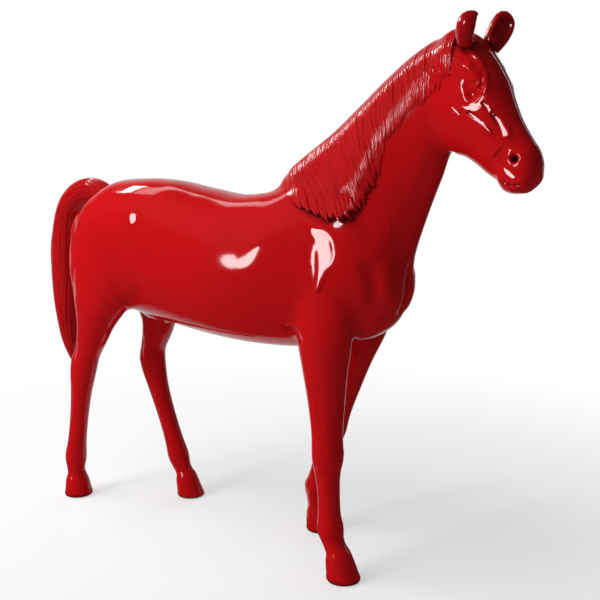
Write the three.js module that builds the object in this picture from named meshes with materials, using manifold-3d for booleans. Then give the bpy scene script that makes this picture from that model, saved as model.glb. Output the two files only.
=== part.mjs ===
// A life-size standing horse cast in gloss red resin: hollow shells and solid leg castings
// over a welded steel tube armature. Millimetres, +X to the nose, +Y to the horse's left, +Z up.
// The outline tables count x from the foot of the withers; the finished group is centred at the end.
import * as THREE from 'three';
import { mergeVertices, toCreasedNormals } from 'three/addons/utils/BufferGeometryUtils.js';
import Module from 'manifold-3d';

const manifold = await Module();
manifold.setup();

// Fits, walls and seams
const FIT = 0.3;
const WALL = 8;
const LEG_SEAM_HEIGHT = 800;
const NECK_SEAM_BACK = { x: -30, z: 1530 };
const NECK_SEAM_CHEST = { x: 520, z: 1150 };
const HEAD_SEAM_POLL = { x: 655, z: 2005 };
const HEAD_SEAM_THROAT = { x: 684, z: 1590 };

// The head is turned a little to the horse's right, by a bend in the upper neck
const HEAD_TURN_DEGREES = 12;
const TURN_START = 480;
const TURN_END = 636;

// Heights and reaches of the body
const CROUP_HEIGHT = 1532;
const BACK_HEIGHT = 1462;
const CREST_FOOT_HEIGHT = 1540;
const FLANK_HEIGHT = 912;
const GIRTH_HEIGHT = 848;
const RUMP_REACH = 1165;
const CHEST_REACH = 509;
const RUMP_HALF_WIDTH = 262;
const BARREL_HALF_WIDTH = 290;
const SHOULDER_HALF_WIDTH = 215;
const NECK_HALF_WIDTH = 112;
const HEAD_HALF_WIDTH = 98;
const MUZZLE_HALF_WIDTH = 64;

// Heights of the leg joints
const ELBOW_HEIGHT = 905;
const KNEE_HEIGHT = 475;
const HIP_HEIGHT = 1190;
const STIFLE_HEIGHT = 870;
const HOCK_HEIGHT = 630;
const FORE_FETLOCK_HEIGHT = 195;
const HIND_FETLOCK_HEIGHT = 200;
const FORE_STANCE = 172;
const HIND_STANCE = 150;

// Hooves
const HOOF_HEIGHT = 88;
const HOOF_TOE = 69;
const HOOF_HEEL = 60;
const HOOF_HALF_WIDTH = 64;
const CORONET_RADIUS = 51;

// Raised and sunk details: half sizes along, across and up
const EYE = { x: 842, y: 82, z: 1810, length: 28, depth: 20, height: 19 };
const BROW = { x: 838, y: 70, z: 1821, length: 48, depth: 29, height: 33 };
const NOSTRIL = { x: 970, y: 63, z: 1574, length: 14, depth: 6, height: 20 };
const SHEATH = { x: 425 - RUMP_REACH, y: 0, z: 905, length: 115, depth: 46, height: 36 };

// Ears
const EAR_FOOT = { x: 774, y: 74, z: 1952 };
const EAR_TIP = { x: 822, y: 103, z: 2059 };
const EAR_TIP_RAISE = 13;
const EAR_HALF_WIDTH = 42;
const EAR_HALF_DEPTH = 37;
const EAR_CUP_SHIFT = 30;
const EAR_TURN = -0.7;

// Mane and tail
const MANE_THICKNESS = 18;
const MANE_CREST = 5;
const MANE_LOCKS = 13;
const LOCK_RELIEF = 7;
const TAIL_HALF_WIDTH = 72;
const TAIL_LOCKS = 5;
const TAIL_WAVE = 1.4;

// Steel armature
const LEG_TUBE_DIAMETER = 34;
const LEG_TUBE_WALL = 3;
const SPINE_TUBE_DIAMETER = 48;
const FRAME_TUBE_WALL = 3;
const CROSSBAR_HEIGHT = 1130;
const SPINE_OVERHANG = 60;
const FOOT_PLATE_DIAMETER = 80;
const FOOT_PLATE_THICKNESS = 8;
const ANCHOR_HOLE_DIAMETER = 13;

// Materials
const resin = new THREE.MeshStandardMaterial({ color: 0xb00a10, roughness: 0.12, metalness: 0 });
const hair = new THREE.MeshStandardMaterial({ color: 0xa5080e, roughness: 0.18, metalness: 0 });
const steel = new THREE.MeshStandardMaterial({ color: 0x8a8d90, roughness: 0.45, metalness: 1 });

// Smooth value between rows: the rows start with their place along the form.
function between(rows, at) {
  const last = rows.length - 1;
  let i = 0;
  while (i < last - 1 && at > rows[i + 1][0]) i += 1;
  const slope = (a, b, k) => (rows[b][k] - rows[a][k]) / (rows[b][0] - rows[a][0]);
  const tangent = (j, k) => {
    if (j === 0) return slope(0, 1, k);
    if (j === last) return slope(last - 1, last, k);
    const before = rows[j][0] - rows[j - 1][0];
    const after = rows[j + 1][0] - rows[j][0];
    return (slope(j - 1, j, k) * after + slope(j, j + 1, k) * before) / (before + after);
  };
  const span = rows[i + 1][0] - rows[i][0];
  const t = (at - rows[i][0]) / span;
  return rows[i].slice(1).map((start, column) => {
    const k = column + 1;
    const end = rows[i + 1][k];
    if (t < 0) return start + slope(i, i + 1, k) * t * span;
    if (t > 1) return end + slope(i, i + 1, k) * (t - 1) * span;
    const bend0 = tangent(i, k) * span;
    const bend1 = tangent(i + 1, k) * span;
    return (2 * t ** 3 - 3 * t ** 2 + 1) * start + (t ** 3 - 2 * t ** 2 + t) * bend0
      + (3 * t ** 2 - 2 * t ** 3) * end + (t ** 3 - t ** 2) * bend1;
  });
}

// Signed power, for the rounded-box sections.
function fullness(value, power) {
  return Math.sign(value) * Math.abs(value) ** power;
}

// Closed geometry through rings of points, its ends closed by fans.
function skin(rings) {
  const count = rings[0].length;
  const points = rings.flat();
  const centre = (ring) => ring.reduce((sum, p) => sum.add(p), new THREE.Vector3()).divideScalar(count);
  points.push(centre(rings[0]), centre(rings[rings.length - 1]));
  const first = points.length - 2;
  const final = points.length - 1;
  const index = [];
  for (let i = 0; i < rings.length - 1; i += 1) {
    for (let j = 0; j < count; j += 1) {
      const a = i * count + j;
      const b = i * count + (j + 1) % count;
      index.push(a, b, b + count, a, b + count, a + count);
    }
  }
  const top = (rings.length - 1) * count;
  for (let j = 0; j < count; j += 1) {
    const next = (j + 1) % count;
    index.push(first, next, j, final, top + j, top + next);
  }
  const geometry = new THREE.BufferGeometry().setFromPoints(points);
  geometry.setIndex(index);
  return outward(geometry);
}

// Turns a closed geometry's faces outward.
function outward(geometry) {
  const position = geometry.getAttribute('position');
  const index = geometry.index.array;
  const [a, b, c] = [new THREE.Vector3(), new THREE.Vector3(), new THREE.Vector3()];
  let volume = 0;
  for (let i = 0; i < index.length; i += 3) {
    a.fromBufferAttribute(position, index[i]);
    b.fromBufferAttribute(position, index[i + 1]);
    c.fromBufferAttribute(position, index[i + 2]);
    volume += a.dot(b.cross(c));
  }
  if (volume < 0) {
    for (let i = 0; i < index.length; i += 3) [index[i], index[i + 1]] = [index[i + 1], index[i]];
  }
  return geometry;
}

// The same closed form grown by a distance, or shrunk by a negative one.
function grow(geometry, distance) {
  if (distance === 0) return geometry;
  geometry.computeVertexNormals();
  const position = geometry.getAttribute('position');
  const normal = geometry.getAttribute('normal');
  for (let i = 0; i < position.count; i += 1) {
    position.setXYZ(i, position.getX(i) + normal.getX(i) * distance,
      position.getY(i) + normal.getY(i) * distance, position.getZ(i) + normal.getZ(i) * distance);
  }
  return geometry;
}

// Bends a geometry with the head's turn.
const HEAD_TURN = THREE.MathUtils.degToRad(HEAD_TURN_DEGREES);
function turned(geometry) {
  const length = TURN_END - TURN_START;
  const radius = length / HEAD_TURN;
  const position = geometry.getAttribute('position');
  for (let i = 0; i < position.count; i += 1) {
    const [x, y] = [position.getX(i), position.getY(i)];
    const angle = HEAD_TURN * THREE.MathUtils.clamp((x - TURN_START) / length, 0, 1);
    const beyond = Math.max(x - TURN_END, 0);
    const before = Math.min(x, TURN_START);
    position.setX(i, before + (radius + y) * Math.sin(angle) + beyond * Math.cos(angle));
    position.setY(i, (radius + y) * Math.cos(angle) - radius - beyond * Math.sin(angle));
  }
  return geometry;
}

// Where the head's own frame lies after the turn, for cuts that belong to the head.
function headFrame() {
  const radius = (TURN_END - TURN_START) / HEAD_TURN;
  const matrix = new THREE.Matrix4().makeRotationZ(-HEAD_TURN);
  matrix.setPosition(TURN_START + radius * Math.sin(HEAD_TURN), radius * (Math.cos(HEAD_TURN) - 1), 0);
  return matrix.multiply(new THREE.Matrix4().makeTranslation(-TURN_END, 0, 0));
}

// Manifold solid of a closed geometry.
function solid(geometry) {
  const bare = geometry.clone();
  bare.deleteAttribute('normal');
  bare.deleteAttribute('uv');
  const merged = mergeVertices(bare, 1e-4);
  return new manifold.Manifold(new manifold.Mesh({
    numProp: 3,
    vertProperties: new Float32Array(merged.getAttribute('position').array),
    triVerts: new Uint32Array(merged.index.array),
  }));
}

// Geometry of a manifold solid.
function surface(body) {
  const mesh = body.getMesh();
  const geometry = new THREE.BufferGeometry();
  geometry.setAttribute('position', new THREE.BufferAttribute(mesh.vertProperties, 3));
  geometry.setIndex(new THREE.BufferAttribute(mesh.triVerts, 1));
  return geometry;
}

function union(...solids) {
  return solids.reduce((sum, next) => sum.add(next));
}

// The biggest piece of a trimmed casting, without the crumbs a trim can leave.
function mainPiece(body) {
  return body.decompose().reduce((most, piece) => (piece.volume() > most.volume() ? piece : most));
}

// Places along a row table, with a number of steps between each two rows.
function places(rows, steps) {
  const list = [];
  for (let i = 0; i < rows.length - 1; i += 1) {
    for (let k = 0; k < steps; k += 1) {
      list.push(rows[i][0] + (rows[i + 1][0] - rows[i][0]) * k / steps);
    }
  }
  list.push(rows[rows.length - 1][0]);
  return list;
}

// Adds to each row its distance along the middle of the form.
function measured(rows) {
  let along = 0;
  let last = null;
  return rows.map((row) => {
    const middle = [(row[0] + row[2]) / 2, (row[1] + row[3]) / 2];
    if (last) along += Math.hypot(middle[0] - last[0], middle[1] - last[1]);
    last = middle;
    return [along, ...row];
  });
}

// One point of a body section at an angle: 90 degrees is the top line, 180 the right side.
function sectionPoint([xTop, zTop, xLow, zLow, halfWidth, widest, fullAbove, fullBelow], angle) {
  const up = Math.sin(angle);
  const power = 2 / (up >= 0 ? fullAbove : fullBelow);
  const lift = Math.abs(up) ** power;
  const share = up >= 0 ? widest + (1 - widest) * lift : widest - widest * lift;
  return new THREE.Vector3(xLow + (xTop - xLow) * share,
    halfWidth * fullness(Math.cos(angle), power), zLow + (zTop - zLow) * share);
}

function bodyForm(rows, around, steps) {
  const table = measured(rows);
  const rings = places(table, steps).map((at) => {
    const section = between(table, at);
    return Array.from({ length: around }, (_, j) => sectionPoint(section, 2 * Math.PI * j / around));
  });
  return skin(rings);
}

// Places x, z on the top line of the neck, where the mane also hangs.
const withers = [-40, CREST_FOOT_HEIGHT];
const neckBase = [55, CREST_FOOT_HEIGHT + 68];
const lowCrest = [172, 1683];
const midCrest = [303, 1785];
const highCrest = [421, 1880];
const nape = [517, 1946];
const poll = [604, 1986];

// Trunk, neck and head sections. Columns: top line x and z, bottom line x and z, half width,
// height share of the widest place, fullness above it and below it.
const trunkRows = [
  [-RUMP_REACH, 1305, -RUMP_REACH, 1175, 70, 0.5, 2, 2],
  [15 - RUMP_REACH, 1385, 15 - RUMP_REACH, 1080, 148, 0.52, 2, 2],
  [75 - RUMP_REACH, 1460, 75 - RUMP_REACH, 1000, 203, 0.54, 2, 2],
  [-980, CROUP_HEIGHT - 18, -980, FLANK_HEIGHT + 45, 238, 0.56, 2.1, 2],
  [-800, CROUP_HEIGHT, -800, FLANK_HEIGHT, 256, 0.55, 2.2, 2],
  [-620, CROUP_HEIGHT - 10, -620, FLANK_HEIGHT - 25, RUMP_HALF_WIDTH, 0.5, 2.2, 2.1],
  [-430, BACK_HEIGHT + 26, -430, GIRTH_HEIGHT + 18, 276, 0.47, 2.1, 2.2],
  [-230, BACK_HEIGHT, -230, GIRTH_HEIGHT + 3, BARREL_HALF_WIDTH, 0.46, 2, 2.2],
  [-80, BACK_HEIGHT + 18, -80, GIRTH_HEIGHT, 275, 0.45, 1.8, 2.2],
  [60, BACK_HEIGHT + 68, 70, GIRTH_HEIGHT + 8, 245, 0.44, 1.6, 2.2],
  [170, 1560, 230, 880, SHOULDER_HALF_WIDTH, 0.45, 1.5, 2.2],
  [250, 1540, 390, 930, SHOULDER_HALF_WIDTH - 25, 0.45, 1.6, 2.2],
  [350, 1450, CHEST_REACH - 40, 1010, 150, 0.45, 1.8, 2.2],
  [420, 1330, CHEST_REACH - 4, 1110, 100, 0.5, 2, 2],
  [450, 1260, CHEST_REACH, 1170, 40, 0.5, 2, 2],
];
const neckRows = [
  [-130, 1440, 300, 960, 130, 0.45, 1.4, 2],
  [...withers, 415, 1010, 170, 0.42, 1.35, 2.1],
  [...neckBase, 496, 1110, 165, 0.42, 1.3, 2.1],
  [...lowCrest, 522, 1230, 135, 0.5, 1.35, 2.1],
  [...midCrest, 562, 1345, NECK_HALF_WIDTH, 0.58, 1.45, 2.1],
  [...highCrest, 604, 1446, 98, 0.62, 1.5, 2.1],
  [...nape, 638, 1526, 90, 0.62, 1.6, 2.1],
  [...poll, 662, 1592, 84, 0.6, 1.7, 2],
  [690, 2003, 704, 1660, 70, 0.55, 1.8, 2],
  [745, 1985, 745, 1760, 50, 0.55, 2, 2],
];
const headRows = [
  [660, 2006, 600, 1850, 45, 0.6, 2, 2],
  [712, 2012, 615, 1740, 82, 0.6, 2, 2.2],
  [775, 1989, 645, 1650, 92, 0.62, 2.1, 2.1],
  [837, 1922, 694, 1606, HEAD_HALF_WIDTH, 0.62, 2.2, 2],
  [881, 1849, 744, 1591, HEAD_HALF_WIDTH - 2, 0.62, 2.2, 1.9],
  [912, 1777, 791, 1564, 84, 0.58, 2.1, 1.9],
  [946, 1708, 836, 1532, 72, 0.52, 2.1, 2],
  [985, 1648, 876, 1507, MUZZLE_HALF_WIDTH, 0.5, 2.1, 2.1],
  [1017, 1599, 895, 1483, MUZZLE_HALF_WIDTH, 0.5, 2.2, 2.2],
  [1025, 1552, 918, 1469, 60, 0.5, 2.3, 2.3],
  [1012, 1506, 950, 1466, 50, 0.5, 2.2, 2.2],
  [990, 1483, 974, 1468, 24, 0.5, 2, 2],
];

// Leg sections, at a joint number. Columns: joint, reach forward, back, outward and inward.
const foreRows = [
  [-0.75, 60, 70, 55, 40],
  [-0.5, 130, 110, 75, 60],
  [-0.2, 135, 120, 85, 70],
  [0, 118, 108, 84, 70],
  [0.2, 98, 92, 76, 66],
  [0.5, 78, 72, 64, 60],
  [0.8, 64, 62, 56, 54],
  [1, 64, 63, 58, 56],
  [1.15, 54, 58, 50, 50],
  [1.5, 42, 46, 42, 42],
  [1.8, 42, 50, 43, 43],
  [2, 48, 56, 47, 47],
  [2.35, 42, 46, 41, 41],
  [2.7, 40, 44, 41, 41],
  [3.2, CORONET_RADIUS, CORONET_RADIUS, CORONET_RADIUS, CORONET_RADIUS],
];
const hindRows = [
  [-0.6, 90, 90, 50, 40],
  [-0.35, 180, 170, 90, 60],
  [0, 250, 262, 112, 80],
  [0.35, 206, 235, 112, 80],
  [0.65, 140, 175, 102, 76],
  [1, 88, 118, 80, 66],
  [1.35, 72, 86, 66, 58],
  [1.7, 62, 72, 56, 52],
  [2, 63, 78, 54, 52],
  [2.2, 52, 66, 48, 47],
  [2.5, 44, 50, 42, 42],
  [2.8, 44, 50, 42, 42],
  [3, 48, 56, 47, 47],
  [3.35, 42, 46, 41, 41],
  [3.7, 40, 44, 41, 41],
  [4.2, CORONET_RADIUS, CORONET_RADIUS, CORONET_RADIUS, CORONET_RADIUS],
];

// Each leg's joints from the top down, as x, distance from the middle, and height. A foreleg's
// places are given as distances behind the chest, a hind leg's as distances ahead of the rump.
function foreJoints(elbow, knee, fetlock, coronet, sole) {
  return [
    [CHEST_REACH - elbow, FORE_STANCE - 22, ELBOW_HEIGHT],
    [CHEST_REACH - knee, FORE_STANCE - 17, KNEE_HEIGHT],
    [CHEST_REACH - fetlock, FORE_STANCE - 7, FORE_FETLOCK_HEIGHT],
    [CHEST_REACH - coronet, FORE_STANCE, HOOF_HEIGHT],
    [CHEST_REACH - sole, FORE_STANCE, 0],
  ];
}
function hindJoints(hip, stifle, hock, fetlock, coronet, sole) {
  return [
    [hip - RUMP_REACH, HIND_STANCE - 10, HIP_HEIGHT],
    [stifle - RUMP_REACH, HIND_STANCE, STIFLE_HEIGHT],
    [hock - RUMP_REACH, HIND_STANCE, HOCK_HEIGHT],
    [fetlock - RUMP_REACH, HIND_STANCE, HIND_FETLOCK_HEIGHT],
    [coronet - RUMP_REACH, HIND_STANCE, HOOF_HEIGHT],
    [sole - RUMP_REACH, HIND_STANCE, 0],
  ];
}
const RIGHT = -1;
const LEFT = 1;
const legs = [
  { name: 'front_right', side: RIGHT, rows: foreRows, joints: foreJoints(274, 251, 228, 187, 169) },
  { name: 'front_left', side: LEFT, rows: foreRows, joints: foreJoints(304, 425, 503, 503, 489) },
  {
    name: 'hind_right',
    side: RIGHT,
    rows: hindRows,
    joints: hindJoints(265, 153, 53, -27, -29, -24),
  },
  {
    name: 'hind_left',
    side: LEFT,
    rows: hindRows,
    joints: hindJoints(265, 260, 217, 365, 417, 443),
  },
];

// Smooth centre line of a leg, as rows of joint number, x, y, z.
function centreLine(leg) {
  return leg.joints.map(([x, out, z], joint) => [joint, x, leg.side * out, z]);
}

function legForm(leg) {
  const line = centreLine(leg).slice(0, -1);
  const around = 16;
  const step = 0.02;
  const rings = places(leg.rows, 1).map((at) => {
    const [x, y, z] = between(line, at);
    const [xAbove, , zAbove] = between(line, at - step);
    const [xBelow, , zBelow] = between(line, at + step);
    const down = new THREE.Vector3(xBelow - xAbove, 0, zBelow - zAbove).normalize();
    const forward = new THREE.Vector3(-down.z, 0, down.x);
    const [front, back, outer, inner] = between(leg.rows, at);
    return Array.from({ length: around }, (_, j) => {
      const angle = 2 * Math.PI * j / around;
      const ahead = Math.cos(angle) * (Math.cos(angle) > 0 ? front : back);
      const aside = Math.sin(angle) * (Math.sin(angle) > 0 ? outer : inner);
      return new THREE.Vector3(x, y + leg.side * aside, z).addScaledVector(forward, ahead);
    });
  });
  return skin(rings);
}

// Bell-shaped hoof with a flat sole.
function hoofForm(leg) {
  const around = 20;
  const [coronet, sole] = leg.joints.slice(-2);
  const top = HOOF_HEIGHT - FIT;
  const rows = [
    [0, HOOF_TOE - 3, HOOF_HEEL - 2, HOOF_HALF_WIDTH - 2],
    [0.1, HOOF_TOE, HOOF_HEEL, HOOF_HALF_WIDTH],
    [0.5, HOOF_TOE - 7, HOOF_HEEL - 2, HOOF_HALF_WIDTH - 5],
    [0.88, CORONET_RADIUS + 4, CORONET_RADIUS + 3, CORONET_RADIUS + 3],
    [1, CORONET_RADIUS, CORONET_RADIUS, CORONET_RADIUS],
  ];
  const rings = rows.map(([share, toe, heel, halfWidth]) => {
    const x = sole[0] + (coronet[0] - sole[0]) * share;
    const y = leg.side * (sole[1] + (coronet[1] - sole[1]) * share);
    return Array.from({ length: around }, (_, j) => {
      const angle = 2 * Math.PI * j / around;
      const ahead = Math.cos(angle) * (Math.cos(angle) > 0 ? toe : heel);
      return new THREE.Vector3(x + ahead, y + Math.sin(angle) * halfWidth, top * share);
    });
  });
  return skin(rings);
}

// Cutting blocks
const FAR = 3000;
function above(height) {
  return solid(new THREE.BoxGeometry(2 * FAR, 2 * FAR, FAR).translate(0, 0, height + FAR / 2));
}
function below(height) {
  return solid(new THREE.BoxGeometry(2 * FAR, 2 * FAR, FAR).translate(0, 0, height - FAR / 2));
}
function onSide(side, frame) {
  const half = new THREE.BoxGeometry(2 * FAR, FAR, 2 * FAR).translate(0, side * (FAR + FIT) / 2, 0);
  return solid(half.applyMatrix4(frame));
}
// Everything ahead of the plane through an upper and a lower point, moved by a distance.
function ahead(upper, lower, moved, frame) {
  const box = new THREE.BoxGeometry(FAR, 2 * FAR, 2 * FAR).translate(FAR / 2 + moved, 0, 0);
  box.rotateY(Math.atan2(upper.x - lower.x, upper.z - lower.z));
  box.translate((upper.x + lower.x) / 2, 0, (upper.z + lower.z) / 2);
  return solid(box.applyMatrix4(frame));
}

function ellipsoid({ x, y, z, length, depth, height }, side) {
  const ball = new THREE.SphereGeometry(1, 14, 10);
  ball.scale(length, depth, height);
  ball.translate(x, side * y, z);
  return solid(turned(ball));
}

// The whole horse above the leg seams, grown by a distance. It stays solid inside.
const BODY_SIDES = 24;
const HOLLOW_SIDES = 12;
const legForms = new Map(legs.map((leg) => [leg.name, legForm(leg)]));
function wholeBody(distance, sides) {
  const limbs = legs.map((leg) => solid(grow(legForms.get(leg.name).clone(), distance)));
  const trunk = solid(grow(bodyForm(trunkRows, sides, 1), distance));
  const neck = solid(turned(grow(bodyForm(neckRows, sides, 1), distance)));
  const head = solid(turned(grow(bodyForm(headRows, sides, 1), distance)));
  const upper = union(...limbs).intersect(above(LEG_SEAM_HEIGHT + FIT / 2));
  return union(trunk, neck, head, upper);
}

const hollow = wholeBody(-WALL, HOLLOW_SIDES);
const fitted = wholeBody(FIT, BODY_SIDES);

function carvedBody() {
  let body = wholeBody(0, BODY_SIDES);
  for (const side of [RIGHT, LEFT]) {
    body = union(body, ellipsoid(BROW, side), ellipsoid(EYE, side));
    body = body.subtract(ellipsoid(NOSTRIL, side));
  }
  return union(body, ellipsoid(SHEATH, RIGHT));
}

const shell = carvedBody().subtract(hollow);
const straight = new THREE.Matrix4();
const neckStart = ahead(NECK_SEAM_BACK, NECK_SEAM_CHEST, FIT / 2, straight);
const neckEnd = ahead(NECK_SEAM_BACK, NECK_SEAM_CHEST, -FIT / 2, straight);
const headStart = ahead(HEAD_SEAM_POLL, HEAD_SEAM_THROAT, FIT / 2, headFrame());
const headEnd = ahead(HEAD_SEAM_POLL, HEAD_SEAM_THROAT, -FIT / 2, headFrame());

// Steel tube swept along points, with an open bore, or a solid bar for cutting its channel.
const TUBE_SIDES = 8;
const TUBE_STEPS = 14;
function tubeGeometry(points, radius, bore, steps) {
  const shape = new THREE.Shape().absarc(0, 0, radius, 0, 2 * Math.PI);
  if (bore > 0) shape.holes.push(new THREE.Path().absarc(0, 0, bore, 0, 2 * Math.PI, true));
  const path = points.length > 2 ? new THREE.CatmullRomCurve3(points) : new THREE.LineCurve3(...points);
  return new THREE.ExtrudeGeometry(shape, {
    steps, extrudePath: path, bevelEnabled: false, curveSegments: TUBE_SIDES / 2,
  });
}
function tube(points, radius, bore, steps) {
  return solid(tubeGeometry(points, radius, bore, steps));
}

// Joint number at which a leg's centre line passes a height.
function jointAt(leg, height) {
  const line = centreLine(leg);
  let high = -2;
  let low = line.length - 1;
  for (let i = 0; i < 40; i += 1) {
    const middle = (high + low) / 2;
    if (between(line, middle)[2] > height) high = middle;
    else low = middle;
  }
  return low;
}

function legTubePoints(leg, lowest) {
  const steps = TUBE_STEPS;
  const top = jointAt(leg, CROSSBAR_HEIGHT + LEG_TUBE_DIAMETER / 2);
  const foot = jointAt(leg, lowest);
  return Array.from({ length: steps + 1 }, (_, i) => {
    return new THREE.Vector3(...between(centreLine(leg), top + (foot - top) * i / steps));
  });
}

function buildLeg(leg) {
  const radius = LEG_TUBE_DIAMETER / 2;
  const points = legTubePoints(leg, 0);
  const channel = tube(points, radius + FIT, 0, TUBE_STEPS);
  const lowest = FOOT_PLATE_THICKNESS + FIT;
  const steelTube = tube(points, radius, radius - LEG_TUBE_WALL, TUBE_STEPS).intersect(above(lowest));
  const casting = solid(legForms.get(leg.name)).intersect(below(LEG_SEAM_HEIGHT - FIT / 2))
    .intersect(above(HOOF_HEIGHT));
  const plate = footPlate(leg, 0);
  place(`leg_${leg.name}`, casting.subtract(channel), resin);
  place(`hoof_${leg.name}`, solid(hoofForm(leg)).subtract(channel).subtract(footPlate(leg, FIT)), resin);
  place(`leg_tube_${leg.name}`, steelTube, steel);
  place(`foot_plate_${leg.name}`, plate.subtract(anchorHole(leg)), steel);
}

// Round steel plate let into the sole, grown by a distance.
function footPlate(leg, distance) {
  const radius = FOOT_PLATE_DIAMETER / 2 + distance;
  const thickness = FOOT_PLATE_THICKNESS + distance;
  const plate = new THREE.CylinderGeometry(radius, radius, thickness, 24);
  const [x, out] = leg.joints[leg.joints.length - 1];
  plate.rotateX(Math.PI / 2).translate(x, leg.side * out, thickness / 2);
  return solid(plate);
}
function anchorHole(leg) {
  const [x, out] = leg.joints[leg.joints.length - 1];
  const radius = ANCHOR_HOLE_DIAMETER / 2;
  const hole = new THREE.CylinderGeometry(radius, radius, 4 * FOOT_PLATE_THICKNESS, 16);
  return solid(hole.rotateX(Math.PI / 2).translate(x, leg.side * out, 0));
}

// Cross bars, spine and neck tube of the armature
function tubeTop(leg) {
  return new THREE.Vector3(...between(centreLine(leg), jointAt(leg, CROSSBAR_HEIGHT)));
}
function crossbar(rightLeg, leftLeg) {
  const radius = LEG_TUBE_DIAMETER / 2;
  const ends = [tubeTop(rightLeg), tubeTop(leftLeg)];
  const inset = radius / 2 / ends[0].distanceTo(ends[1]);
  const cut = ends.map((end, i) => end.clone().lerp(ends[1 - i], inset));
  const bar = tube(cut, radius, radius - LEG_TUBE_WALL, 1);
  return [rightLeg, leftLeg].reduce((coped, leg) => {
    return coped.subtract(tube(legTubePoints(leg, LEG_SEAM_HEIGHT), radius + FIT, 0, TUBE_STEPS));
  }, bar);
}
function sectionMiddle(row) {
  return new THREE.Vector3((row[0] + row[2]) / 2, 0, (row[1] + row[3]) / 2);
}
function buildFrame() {
  const [frontRight, frontLeft, hindRight, hindLeft] = legs;
  const spineHeight = CROSSBAR_HEIGHT + (LEG_TUBE_DIAMETER + SPINE_TUBE_DIAMETER) / 2 + FIT;
  const radius = SPINE_TUBE_DIAMETER / 2;
  const bore = radius - FRAME_TUBE_WALL;
  const front = (tubeTop(frontRight).x + tubeTop(frontLeft).x) / 2;
  const rear = (tubeTop(hindRight).x + tubeTop(hindLeft).x) / 2;
  const spineEnds = [
    new THREE.Vector3(rear - SPINE_OVERHANG, 0, spineHeight),
    new THREE.Vector3(front + SPINE_OVERHANG, 0, spineHeight),
  ];
  const neckPoints = [
    new THREE.Vector3(front, 0, spineHeight),
    ...neckRows.slice(3, 8).map(sectionMiddle),
    sectionMiddle(headRows[2]),
  ];
  place('shoulder_crossbar', crossbar(frontRight, frontLeft), steel);
  place('hip_crossbar', crossbar(hindRight, hindLeft), steel);
  place('spine_tube', tube(spineEnds, radius, bore, 1), steel);
  const neckTube = solid(turned(tubeGeometry(neckPoints, radius, bore, TUBE_STEPS)));
  const coped = neckTube.subtract(tube(spineEnds, radius + FIT, 0, 1)).intersect(above(spineHeight));
  place('neck_tube', coped, steel);
}

// Half width of a form at a place on its side, or 0 outside it.
function halfWidthAt(rows, x, z) {
  const table = measured(rows);
  const beyond = (at) => {
    const [xTop, zTop, xLow, zLow] = between(table, at);
    return (x - xLow) * (zTop - zLow) - (z - zLow) * (xTop - xLow);
  };
  let start = 0;
  let end = table[table.length - 1][0];
  if (beyond(start) < 0 || beyond(end) > 0) return 0;
  for (let i = 0; i < 30; i += 1) {
    const middle = (start + end) / 2;
    if (beyond(middle) > 0) start = middle;
    else end = middle;
  }
  const [xTop, zTop, xLow, zLow, halfWidth, widest, fullAbove, fullBelow] = between(table, start);
  const share = ((x - xLow) * (xTop - xLow) + (z - zLow) * (zTop - zLow))
    / ((xTop - xLow) ** 2 + (zTop - zLow) ** 2);
  const lift = share >= widest ? (share - widest) / (1 - widest) : (widest - share) / widest;
  if (lift >= 1) return 0;
  const full = share >= widest ? fullAbove : fullBelow;
  return halfWidth * (1 - lift ** full) ** (1 / full);
}

// Mane: locks hang from the crest down the right side. Columns: share of the crest from the poll
// to the withers, crest x and z, length of the locks, forward sweep per length.
const maneRows = [
  [0, 706, 2002, 130, -0.12],
  [0.14, ...poll, 185, -0.1],
  [0.28, ...nape, 165, -0.05],
  [0.43, ...highCrest, 165, 0],
  [0.6, ...midCrest, 190, 0.12],
  [0.75, ...lowCrest, 250, 0.3],
  [0.88, ...neckBase, 270, 0.4],
  [0.96, -10, CREST_FOOT_HEIGHT + 28, 170, 0.4],
  [1, ...withers, 60, 0.3],
];
function bodySide(x, z) {
  return Math.max(...[neckRows, trunkRows, headRows].map((rows) => halfWidthAt(rows, x, z)));
}
// Way out of the right side of the body at a place.
function rightSideNormal(x, z) {
  const reach = 6;
  const alongX = (bodySide(x + reach, z) - bodySide(x - reach, z)) / (2 * reach);
  const alongZ = (bodySide(x, z + reach) - bodySide(x, z - reach)) / (2 * reach);
  return new THREE.Vector3(-alongX, -1, -alongZ).normalize();
}
function maneForm() {
  const columnsPerLock = 4;
  const down = 7;
  const columns = MANE_LOCKS * columnsPerLock;
  const buried = 12;
  const rings = Array.from({ length: columns + 1 }, (_, i) => {
    const share = i / columns;
    const [xCrest, zCrest, length, sweep] = between(maneRows, share);
    const wave = Math.cos(2 * Math.PI * i / columnsPerLock);
    const reach = length * (0.92 + 0.08 * wave);
    const ends = Math.min(1, 8 * share + 0.3, 8 * (1 - share) + 0.3);
    const outer = [
      new THREE.Vector3(xCrest, 30, zCrest - 22),
      new THREE.Vector3(xCrest, 12, zCrest + MANE_CREST * ends),
      new THREE.Vector3(xCrest, -6, zCrest + MANE_CREST * ends),
    ];
    const inner = [
      new THREE.Vector3(xCrest, 18, zCrest - 34),
      new THREE.Vector3(xCrest, 0, zCrest - buried),
    ];
    for (let k = 1; k <= down; k += 1) {
      const drop = reach * k / down;
      const x = xCrest + sweep * drop;
      const z = zCrest - drop;
      const out = rightSideNormal(x, z);
      const base = new THREE.Vector3(x, -bodySide(x, z), z);
      const taper = 1 - 0.7 * (k / down) ** 3;
      const thick = (MANE_THICKNESS + LOCK_RELIEF * wave) * taper * ends;
      outer.push(base.clone().addScaledVector(out, thick));
      inner.push(base.clone().addScaledVector(out, -buried));
    }
    return [...outer, ...inner.reverse()];
  });
  return turned(skin(rings));
}

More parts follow.
